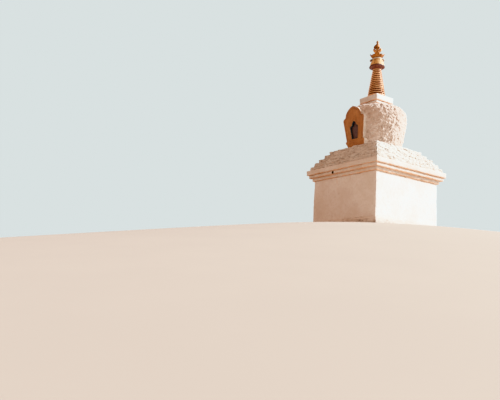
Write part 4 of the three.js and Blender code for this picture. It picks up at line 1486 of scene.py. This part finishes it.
@dataclass(frozen=True)
class Parasol:
    """The red disc, the embossed drum, and the pale collar with its two ears."""

    panels: int = 8
    ribs: int = 12
    beads: int = 48
    rim_rise: float = 0.097
    collar_height: float = 0.067
    ear_drop: float = 0.010
    ear_half_thickness: float = 0.019

    def soffit(self) -> None:
        """Makes the disc's red hollow underside, with pressed ribs: the size of a sine about the axis."""
        low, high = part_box("parasol_disc")
        radius, rim = high.x, self.rim_rise
        under = [(POLE, 0.0), (0.146, 0.0), (0.150, 0.020), (0.154, 0.060), (0.160, 0.084), (0.176, 0.096)]
        under += [(0.215, 0.098), (0.250, 0.093), (radius - 0.018, 0.084), (radius - 0.012, 0.082)]
        under += [(radius - 0.010, rim), (0.262, 0.110), (POLE, 0.110)]
        rings = turned(under, low.z, 0.006, 240)
        x, y, z = rings[..., 0], rings[..., 1], rings[..., 2]
        out, below = np.hypot(x, y), z < low.z + rim
        ribs = np.abs(np.sin(self.ribs * np.arctan2(y, x)))
        ribs = ribs * smoothstep(0.17, 0.20, out) * (1 - smoothstep(0.25, 0.27, out))
        heights = 0.004 * ribs * below + dents(rings, 0.0012, seed=200, size=0.08)
        sooty = 0.2 * (1 - smoothstep(0.15, 0.2, out)) + 0.15 * (1 - ribs) * below
        dirt_and_shade = soil_and_shade(rings, sooty, 0.25, seed=201, size=0.15)
        red = MetalPaint("parasol_red", (0.285, 0.108, 0.088), (0.355, 0.18, 0.14)).build()
        add_piece("parasol_disc_soffit", "parasol_disc", red, rings, dirt_and_shade, heights)

    def skirt(self) -> None:
        """Makes the disc's dark skirt, with a rolled rim."""
        low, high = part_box("parasol_disc")
        radius, rim, top = high.x, self.rim_rise, high.z - low.z
        turn = np.linspace(-2.6, 1.3, 11)
        roll = [(radius - 0.009 + 0.009 * math.cos(t), rim - 0.006 + 0.009 * math.sin(t)) for t in turn]
        profile = [(POLE, 0.100), (0.24, 0.100), (radius - 0.016, 0.088), *roll]
        profile += [(radius - 0.010, rim + 0.012), (0.272, rim + 0.024), (0.266, top)]
        profile += [(0.10, top), (POLE, top)]
        rings = turned(profile, low.z, 0.004, 240)
        crease = bell(rings[..., 2], low.z + rim + 0.012, 0.005)
        dirt_and_shade = soil_and_shade(rings, 0.6 * crease, 0.35, seed=204, size=0.1)
        dark = MetalPaint("skirt_dark_red", (0.15, 0.07, 0.065), (0.23, 0.11, 0.085)).build()
        heights = dents(rings, 0.0015, seed=203, size=0.07)
        add_piece("parasol_disc_skirt", "parasol_disc", dark, rings, dirt_and_shade, heights)

    def drum(self) -> None:
        """Makes the drum: a hem with beads, and arched panels, each with a raised edge and a boss.

        Across runs from -1 to 1 over each panel, and up from 0 to 1 over the height. An arch is a quarter
        ellipse over upright sides, and the ridge, boss, hem and rim are humps round their middle lines.
        """
        low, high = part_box("parasol_drum")
        height = high.z - low.z
        corners = np.array([(0.262, 0.0), (0.250, 0.044), (0.229, 0.122), (0.203, 0.192), (0.172, height)])
        levels = np.linspace(0.0, height, 90)
        radii = np.concatenate([[POLE, 0.15], np.interp(levels, corners[:, 1], corners[:, 0]), [0.10, POLE]])
        levels = np.concatenate([[0.0, 0.0], levels, [height, height]])
        rings = lathe(radii, levels + low.z, 384)
        angle = np.arctan2(rings[..., 1], rings[..., 0]) - FINIAL_TURN
        across = ((angle * self.panels / (2 * math.pi) + 0.5) % 1.0 - 0.5) * 2.0
        up = (rings[..., 2] - low.z) / height
        field = up > 0.14
        arch = 0.78 * np.sqrt(held(1.0 - (held(up - 0.42) / 0.44) ** 2))
        beyond = np.abs(across) - arch
        ridge = bell(beyond, 0.0, 0.10) * field * (up < 0.88)
        boss = bell(across, 0.0, 0.42) * bell(up, 0.45, 0.16) * field * (beyond < 0.0)
        hem = bell(up, 0.06, 0.035) * (0.75 + 0.25 * np.cos(angle * self.beads))
        flute = 0.5 - 0.5 * np.cos(across * math.pi)
        heights = 0.0045 * ridge + 0.0055 * boss + 0.006 * hem + 0.005 * bell(up, 0.95, 0.03) - 0.003 * flute
        heights = heights + dents(rings, 0.001, seed=210, size=0.07)
        sooty = smoothstep(0.03, 0.14, beyond) * field * (up < 0.9) + bell(up, 0.012, 0.02)
        dirt_and_shade = soil_and_shade(rings, 0.9 * sooty, 0.2, seed=211, size=0.1)
        gold, copper, umber = (0.88, 0.58, 0.26), (0.60, 0.32, 0.13), (0.27, 0.12, 0.045)
        gilt = Gilding("drum_gilding", gold, copper, umber, metal=0.85, wear=0.4, lacquer=0.9).build()
        add_piece("parasol_drum_sheet", "parasol_drum", gilt, rings, dirt_and_shade, heights)

    def collar(self) -> None:
        """Makes the pale collar's ring."""
        profile = [(POLE, 0.0), (0.158, 0.0), (0.168, 0.007), (0.1745, 0.018), (0.176, 0.031), (0.174, 0.044)]
        profile += [(0.167, 0.054), (0.156, 0.063), (0.150, self.collar_height)]
        profile += [(POLE, self.collar_height)]
        rings = turned(profile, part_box("parasol_drum")[1].z, 0.005, 160)
        pale = MetalPaint("collar_pale", (0.62, 0.52, 0.42), (0.46, 0.33, 0.24)).build()
        dirt_and_shade = soil_and_shade(rings, 0.15, 0.5, seed=221, size=0.09)
        heights = dents(rings, 0.0012, seed=220, size=0.06, octaves=3)
        add_piece("parasol_collar_ring", "parasol_collar", pale, rings, dirt_and_shade, heights)

    def ears(self) -> None:
        """Makes the two stout ears that curl down from the collar: one pale with painted sunlight, one dark
        with painted shade.
        """
        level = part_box("parasol_drum")[1].z + self.collar_height - self.ear_drop
        curve = [(0.136, -0.034), (0.168, -0.034), (0.194, -0.038), (0.214, -0.050), (0.225, -0.066)]
        curve += [(0.227, -0.082), (0.219, -0.095), (0.208, -0.101)]
        points = smooth_path(curve, 60)
        share = np.linspace(0.0, 1.0, 60)
        wide = (0.026 + 0.014 * smoothstep(0.2, 0.6, share)) * (1.0 - 0.6 * smoothstep(0.75, 1.0, share))
        thick = self.ear_half_thickness * (1.0 - 0.35 * smoothstep(0.7, 1.0, share))
        # lit and shaded copies of one paint: the ear towards the key light is pale, the other dark and
        # greenish
        sunlit_copy = MetalPaint("ear_painted_sunlit", (0.62, 0.54, 0.46), (0.42, 0.34, 0.28), tip=(0.58, 0.40, 0.31))
        shaded_copy = MetalPaint("ear_painted_shade", (0.10, 0.14, 0.13), (0.17, 0.155, 0.13), tip=(0.42, 0.20, 0.14))
        for k, (spin, paint) in enumerate(((FINIAL_TURN, sunlit_copy), (FINIAL_TURN + math.pi, shaded_copy))):
            out, across = directions(spin)
            rings = swept(points[:, :1] * out + (level + points[:, 1:]) * UP, across, wide, thick, 24)
            dirt_and_shade = soil_and_shade(rings, 0.3, 0.6, seed=228, size=0.05)
            heights = dents(rings, 0.0012, seed=225 + k, size=0.03)
            name = f"parasol_ear_{k + 1}"
            add_piece(name, "parasol_collar", paint.build(), rings, dirt_and_shade, heights)

    def build(self) -> None:
        """Makes every piece of the parasol."""
        self.soffit()
        self.skirt()
        self.drum()
        self.collar()
        self.ears()


@dataclass(frozen=True)
class Flame:
    """One flame tongue: where it rises, how far it reaches, where it ends and how low it hangs."""

    turn: float
    reach: float
    tip_radius: float
    tip_height: float
    hang: float

    def rings(self, foot: float) -> Rings:
        """Draws one flame that hugs the drop: ellipses between an outer curve and an inner one.

        The outer curve hangs beside the sun, bulges to its reach above the horn, and closes on the drop at
        its tip with soft licks, whose height is a sine along it. The ellipses are thickest in the middle.

        Args:
            foot: level of the jewel's foot.

        Returns:
            Rings that run round the flame, from its root to its tip.
        """
        reach, hang, height, count = self.reach, self.hang, self.tip_height, 60
        elbow = 0.62 * reach + 0.034
        corners = [(0.024, 0.004), (0.042, -0.6 * hang), (0.060, -hang), (0.076, -0.76 * hang)]
        corners += [(elbow, -0.016 if reach > 0.13 else -0.010), (reach, 0.014)]
        corners += [(0.97 * reach, 0.22 * height), (0.82 * reach, 0.50 * height)]
        corners += [(0.5 * (0.62 * reach + self.tip_radius), 0.78 * height)]
        outer = smooth_path([*corners, (self.tip_radius, height)], count)
        share = np.linspace(0.0, 1.0, count)
        licks = np.sin(7.0 * math.pi * share) * smoothstep(0.5, 0.7, share) * (1.0 - share)
        outer[:, 0] += 0.003 * licks
        root_radius = 0.020
        inner_radius = root_radius + (self.tip_radius - root_radius) * share**3
        inner = np.stack([inner_radius, 0.010 + 0.86 * height * share**1.6], axis=-1)
        middle, half = 0.5 * (outer + inner), 0.5 * (outer - inner)
        stout = 0.007 + 0.009 * smoothstep(0.10, 0.13, reach) + 0.006 * (height < 0.13)
        thick = stout * np.sin(math.pi * held(0.10 + 0.88 * share)) ** 0.7 + 0.0015
        angle = full_turn(20)[None, :, None]
        flat = middle[:, None] + np.cos(angle) * half[:, None]
        out, aside = directions(math.radians(self.turn))
        upright = flat[..., :1] * out + (foot + flat[..., 1:]) * UP
        return upright + np.sin(angle) * thick[:, None, None] * aside


@dataclass(frozen=True)
class Finial:
    """Lotus cup, neck, crescent, sun and flame jewel."""

    petals: int = 4
    crescent_radius: float = 0.160
    crescent_inner: float = 0.092
    crescent_depth: float = 0.120
    horn: float = math.radians(26.0)
    sun_radius: float = 0.050
    sun_half_thickness: float = 0.017
    flames: tuple[Flame, ...] = (
        Flame(45.0, 0.088, 0.036, 0.118, 0.066),
        Flame(135.0, 0.112, 0.036, 0.146, 0.044),
        Flame(225.0, 0.136, 0.038, 0.172, 0.056),
        Flame(315.0, 0.112, 0.036, 0.146, 0.044),
    )

    @staticmethod
    def petal(line: list[Pair], spread: float, foot: float) -> Rings:
        """Draws one petal about +X, wrapped round the cup: x is r cos(w), y is r sin(w), z the level.

        The middle line gives r and the level. The angle w runs from side to side and closes to a point at
        the tip, and the middle bulges out along the line's normal.

        Args:
            line: radius and height of the middle line, from foot to tip.
            spread: half the angle that the petal takes up where it is widest.
            foot: level of the cup's foot.

        Returns:
            Rings that run round the petal's lens-shaped cross section, from foot to tip.
        """
        middle = smooth_path(line, 36)
        ahead = np.gradient(middle, axis=0)
        ahead /= np.linalg.norm(ahead, axis=1, keepdims=True)
        share = np.linspace(0.0, 1.0, 36)[:, None]
        belly = 0.80 + 0.20 * np.sin(math.pi * held(1.3 * share))
        wide = spread * belly * (1 - share**2.4) + 0.004
        angle = full_turn(32)
        side, face = np.cos(angle)[None], np.sin(angle)[None]
        veins = 0.0012 * np.cos(5.0 * math.pi * side) + 0.004 * bell(np.abs(side), 0.84, 0.10)
        bulge = (0.012 * np.sin(math.pi * share) + veins * (face > 0)) * (1.0 - side**2)
        off = 0.006 * (1.0 - 0.5 * share) * face + bulge
        radius = middle[:, :1] + ahead[:, 1:] * off
        level = foot + middle[:, 1:] - ahead[:, :1] * off
        turn = wide * side
        return np.stack([radius * np.cos(turn), radius * np.sin(turn), level], axis=-1)

    def lotus(self) -> None:
        """Makes the cup, four large petals that curl out to their tips, and four small ones between them."""
        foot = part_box("lotus_crown")[0].z
        profile = [(POLE, 0.0), (0.130, 0.0), (0.148, 0.020), (0.174, 0.052), (0.196, 0.086), (0.209, 0.106)]
        profile += [(0.206, 0.111), (0.180, 0.113), (0.148, 0.108), (POLE, 0.108)]
        rings = turned(profile, foot, 0.006, 192)
        gold, copper = (0.64, 0.27, 0.095), (0.42, 0.165, 0.062)
        gilt = Gilding("lotus_gilding", gold, copper, metal=0.8, matt=(0.5, 0.7)).build()
        dirt_and_shade = soil_and_shade(rings, 0.5, 0.3, seed=240, size=0.1)
        add_piece("lotus_cup", "lotus_crown", gilt, rings, dirt_and_shade)
        large = [(0.140, 0.0), (0.160, 0.018), (0.188, 0.050), (0.214, 0.090), (0.236, 0.126), (0.254, 0.152)]
        large += [(0.267, 0.171)]
        small = [(0.140, 0.0), (0.160, 0.020), (0.186, 0.050), (0.206, 0.078), (0.222, 0.101), (0.235, 0.117)]
        for name, line, spread, start in (("large", large, 31.0, FINIAL_TURN), ("small", small, 21.0, 0.0)):
            base = self.petal(line, math.radians(spread), foot)
            for k in range(self.petals):
                angle = start + k * 2 * math.pi / self.petals
                cosine, sine = math.cos(angle), math.sin(angle)
                rings = base @ np.array([[cosine, sine, 0], [-sine, cosine, 0], [0, 0, 1]])
                share = np.linspace(1.0, 0.0, len(rings))[:, None]
                # darker at the foot and much darker at the tips: painted shade, as the curled tips show their
                # shaded undersides
                dirt_and_shade = soil_and_shade(rings, 0.3 + 0.3 * share**2 + 0.5 * (1.0 - share) ** 3, 0.3, seed=260, size=0.06)
                heights = dents(rings, 0.001, seed=250 + k, size=0.04)
                piece = f"lotus_petal_{name}_{k + 1}"
                add_piece(piece, "lotus_crown", gilt, rings, dirt_and_shade, heights)

    def neck(self) -> None:
        """Makes the vase neck, with a bead at its waist."""
        low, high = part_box("finial_neck")
        drawn_height = 0.097
        profile = [(POLE, 0.0), (0.108, 0.0), (0.116, 0.010), (0.121, 0.022), (0.125, 0.036), (0.126, 0.048)]
        profile += [(0.122, 0.062), (0.114, 0.074), (0.106, 0.079), (0.104, 0.082), (0.106, 0.086)]
        profile += [(0.100, 0.091), (0.090, 0.095), (0.084, drawn_height), (POLE, drawn_height)]
        curve = smooth_path(profile, 110)
        rings = lathe(curve[:, 0], low.z + curve[:, 1] * (high.z - low.z) / drawn_height, 120)
        gilt = Gilding("neck_gilding").build()
        dirt_and_shade = soil_and_shade(rings, 0.25, 0.5, seed=271, size=0.08)
        heights = dents(rings, 0.0012, seed=270, size=0.05)
        add_piece("finial_neck_sheet", "finial_neck", gilt, rings, dirt_and_shade, heights)

    def crescent(self) -> None:
        """Makes the crescent: a lens between an outer circle and a higher inner one, with rounded horns."""
        foot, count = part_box("crescent_moon")[0].z, 80
        radius, inner_radius = self.crescent_radius, self.crescent_inner
        rise = self.crescent_depth + inner_radius - radius
        angle = np.linspace(math.pi - self.horn, 2 * math.pi + self.horn, count)
        along = rise * np.sin(angle)
        inner = along + np.sqrt(along**2 - rise**2 + inner_radius**2)
        middle, wide = 0.5 * (radius + inner), 0.5 * (radius - inner)
        ends = held(np.minimum(np.arange(count), count - 1 - np.arange(count)) / 16.0)
        taper = np.sin(0.5 * math.pi * ends) ** 0.85
        wide = wide * taper + 0.0012
        thick = 0.025 * taper * held(wide / wide.max() + 0.35) + 0.0012
        out, across = directions(FINIAL_TURN)
        level = foot + radius + middle * np.sin(angle)
        rings = swept((middle * np.cos(angle))[:, None] * out + level[:, None] * UP, across, wide, thick, 20)
        gilt = Gilding("crescent_gilding").build()
        dirt_and_shade = soil_and_shade(rings, 0.2, 0.6, seed=280, size=0.07)
        heights = dents(rings, 0.0008, seed=281, size=0.04)
        add_piece("crescent_moon_horns", "crescent_moon", gilt, rings, dirt_and_shade, heights)

    def sun(self) -> None:
        """Makes the sun: a shallow lens with a rolled edge, turned to face as the crescent does."""
        share = np.linspace(0.0, math.pi, 25)
        out = self.sun_radius * np.sin(share) ** 0.8 + 0.001
        lift = self.sun_half_thickness * np.cos(share) * (0.75 + 0.25 * np.sin(share))
        lens = lathe(out, -lift, 60)
        side, back = directions(FINIAL_TURN)
        rings = lens[..., :1] * side + lens[..., 1:2] * UP - lens[..., 2:] * back
        rings = rings + (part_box("sun_disc")[1].z - self.sun_radius) * UP
        gilt = Gilding("sun_gilding", gold=(0.84, 0.52, 0.25)).build()
        dirt_and_shade = soil_and_shade(rings, 0.2, 0.5, seed=290, size=0.05)
        add_piece("sun_disc_lens", "sun_disc", gilt, rings, dirt_and_shade)

    def jewel(self) -> None:
        """Makes the drop with its knob, and four flame tongues that rise round it."""
        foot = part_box("sun_disc")[1].z
        profile = [(0.004, 0.0), (0.034, 0.0), (0.050, 0.005), (0.064, 0.013), (0.073, 0.026), (0.077, 0.044)]
        profile += [(0.077, 0.058), (0.074, 0.072), (0.068, 0.088), (0.060, 0.103), (0.051, 0.119)]
        profile += [(0.043, 0.138), (0.036, 0.158), (0.032, 0.174), (0.032, 0.184), (0.036, 0.197)]
        profile += [(0.041, 0.212), (0.043, 0.228), (0.039, 0.246), (0.030, 0.263), (0.017, 0.278)]
        curve = smooth_path([*profile, (0.007, 0.286), (0.002, 0.2876)], 120)
        rings = lathe(np.maximum(curve[:, 0], 0.002), foot + curve[:, 1], 72)
        gold, copper = (0.60, 0.29, 0.11), (0.38, 0.16, 0.06)
        gilt = Gilding("jewel_gilding", gold, copper, metal=0.9, matt=(0.45, 0.65)).build()
        knob = smoothstep(foot + 0.13, foot + 0.19, rings[..., 2])
        dirt_and_shade = soil_and_shade(rings, 0.1 + 0.5 * knob, 0.4, seed=300, size=0.06)
        add_piece("flame_jewel_drop", "flame_jewel", gilt, rings, dirt_and_shade)
        # the flames' gilding is darker than the drop's: painted shade, for the dark band the flames show
        gold, copper = (0.38, 0.165, 0.065), (0.22, 0.09, 0.045)
        painted_shade_gilt = Gilding("flame_gilding_painted_shade", gold, copper, metal=0.8, lacquer=0.2).build()
        for k, flame in enumerate(self.flames):
            rings = flame.rings(foot)
            dirt_and_shade = soil_and_shade(rings, 0.35, 0.5, seed=305, size=0.04)
            add_piece(f"flame_tongue_{k + 1}", "flame_jewel", painted_shade_gilt, rings, dirt_and_shade)

    def build(self) -> None:
        """Makes every piece of the finial."""
        self.lotus()
        self.neck()
        self.crescent()
        self.sun()
        self.jewel()


@dataclass(frozen=True)
class Camera:
    """The photograph's view: from below and to the right of the niche, with a slight tilt."""

    width_pixels: float = 500.0
    focal_pixels: float = 520.0
    sensor: float = 36.0
    distance: float = 18.965
    eye: float = -1.985
    pitch: float = math.radians(9.20)
    roll: float = math.radians(3.565)
    yaw: float = math.radians(-13.57)
    azimuth: float = math.radians(45.0 - 1.564)
    view_reach: float = 500.0

    def build(self) -> None:
        """Places the camera at its distance and turns it away from the axis, up and aslant."""
        away = Vector((math.sin(self.azimuth), -math.cos(self.azimuth), 0.0))
        ahead = -(Matrix.Rotation(-self.yaw, 3, "Z") @ away)
        right = ahead.cross(Vector((0.0, 0.0, 1.0)))
        forward = ahead * math.cos(self.pitch) + Vector((0.0, 0.0, math.sin(self.pitch)))
        up = right.cross(forward)
        tilted_right = right * math.cos(self.roll) + up * math.sin(self.roll)
        tilted_up = up * math.cos(self.roll) - right * math.sin(self.roll)
        data = bpy.data.cameras.new("camera")
        data.sensor_width = self.sensor
        data.lens = self.focal_pixels / self.width_pixels * self.sensor
        data.clip_end = self.view_reach
        camera = bpy.data.objects.new("camera", data)
        columns = Matrix((tilted_right, tilted_up, -forward)).transposed().to_4x4()
        camera.matrix_world = Matrix.Translation(away * self.distance + Vector((0, 0, self.eye))) @ columns
        bpy.context.scene.collection.objects.link(camera)
        bpy.context.scene.camera = camera


@dataclass(frozen=True)
class Setting:
    """Pale floor, pale backdrop and soft light: a low key from behind on the right, and a warm fill."""

    key_from: Pair = (0.574, 0.819)
    key_rise: float = math.radians(31.0)
    key_power: float = 8.5
    key_colour: Colour = (0.72, 0.89, 1.0)
    key_spread: float = math.radians(1.2)
    fill: Colour = (0.72, 0.475, 0.36)
    glow: Colour = (1.5, 1.65, 1.75)
    backdrop: Colour = (0.74, 0.80, 0.80)
    floor_colour: Colour = (0.50, 0.41, 0.335)
    floor_slope: float = 0.17
    floor_level: float = 3.2
    floor_reach: float = 120.0
    floor_bend: float = 1.2
    floor_thickness: float = 0.5
    sky_range: tuple[float, ...] = (0.0, 0.8, 1.25, 0.75)  # height from and to, strength from and to
    halo_range: tuple[float, ...] = (0.6, 1.0, 0.0, 1.0)  # closeness from and to, share from and to

    def floor(self) -> None:
        """Makes the floor, level under the foot and falling away round it: the eye is below the foot."""
        far = np.geomspace(5.5, self.floor_reach, 40)
        radii = np.concatenate([[0.02, 1.5, 2.4], np.linspace(2.6, 5.0, 14), far])
        radii = np.append(radii, 1.00005 * self.floor_reach)  # a thin last band at the rim
        beyond = np.maximum(radii - self.floor_level, 0.0)
        fall = self.floor_slope * beyond**2 / (beyond + self.floor_bend)
        surface = lathe(radii, -fall - 0.001, 160)
        below = lathe(radii[::-1], -fall[::-1] - self.floor_thickness, 160)
        mesh = solid_mesh("floor", np.concatenate([surface, below]), False)
        tree = Tree("floor_pale")
        darker = tuple(0.86 * c for c in self.floor_colour)
        colour = tree.layer(self.floor_colour, darker, (0.4, 5.0), 0.3, 0.7, 0.25)
        tree.feed(tree.shader.inputs["Base Color"], colour)
        tree.shader.inputs["Roughness"].default_value = 0.95
        mesh.materials.append(tree.material)
        floor = bpy.data.objects.new("floor", mesh)
        bpy.context.scene.collection.objects.link(floor)

    def source(self) -> Vector:
        """Gives the unit vector towards the key light."""
        flat = math.cos(self.key_rise)
        return Vector((self.key_from[0] * flat, self.key_from[1] * flat, math.sin(self.key_rise)))

    def key(self) -> None:
        """Makes the key light."""
        data = bpy.data.lights.new("key", "SUN")
        data.energy, data.angle, data.color = self.key_power, self.key_spread, self.key_colour
        light = bpy.data.objects.new("key", data)
        light.rotation_euler = self.source().to_track_quat("Z", "Y").to_euler()
        bpy.context.scene.collection.objects.link(light)

    def world(self) -> None:
        """Makes the world: a pale backdrop to the eye, and a warm fill with a bright halo round the key."""
        world = bpy.data.worlds.new("world")
        bpy.context.scene.world = world
        world.use_nodes = True
        nodes, links = world.node_tree.nodes, world.node_tree.links
        nodes.clear()
        seen, lit = nodes.new("ShaderNodeBackground"), nodes.new("ShaderNodeBackground")
        sky, halo = nodes.new("ShaderNodeMapRange"), nodes.new("ShaderNodeMapRange")
        toward, split, near = (nodes.new(f"ShaderNode{k}") for k in ("TexCoord", "SeparateXYZ", "VectorMath"))
        blend, mixed, path = (nodes.new(f"ShaderNode{k}") for k in ("Mix", "MixShader", "LightPath"))
        halo.interpolation_type = "SMOOTHSTEP"
        near.operation = "DOT_PRODUCT"
        blend.data_type = "RGBA"
        near.inputs[1].default_value = self.source()
        blend.inputs[6].default_value = (*self.fill, 1.0)
        blend.inputs[7].default_value = (*self.glow, 1.0)
        seen.inputs["Color"].default_value = (*self.backdrop, 1.0)
        for node, numbers in ((sky, self.sky_range), (halo, self.halo_range)):
            for key, number in zip(("From Min", "From Max", "To Min", "To Max"), numbers):
                node.inputs[key].default_value = number
        for output, entry in (
            (toward.outputs["Generated"], split.inputs[0]),
            (toward.outputs["Generated"], near.inputs[0]),
            (split.outputs["Z"], sky.inputs["Value"]),
            (near.outputs["Value"], halo.inputs["Value"]),
            (halo.outputs["Result"], blend.inputs["Factor"]),
            (blend.outputs[2], lit.inputs["Color"]),
            (sky.outputs["Result"], lit.inputs["Strength"]),
            (path.outputs["Is Camera Ray"], mixed.inputs[0]),
            (lit.outputs[0], mixed.inputs[1]),
            (seen.outputs[0], mixed.inputs[2]),
            (mixed.outputs[0], nodes.new("ShaderNodeOutputWorld").inputs["Surface"]),
        ):
            links.new(output, entry)

    def build(self) -> None:
        """Makes the floor and the light, and sets the tone curve."""
        self.floor()
        self.key()
        self.world()
        bpy.context.scene.view_settings.view_transform = "Khronos PBR Neutral"


def main() -> None:
    """Builds the setting and every sub-assembly."""
    logging.basicConfig(level=logging.INFO, format="%(name)s %(message)s")
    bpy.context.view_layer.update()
    dome = Dome()
    for part in (Camera(), Setting(), Masonry(), dome, Niche(dome), Spire(), Parasol(), Finial()):
        part.build()


if __name__ == "__main__":
    main()
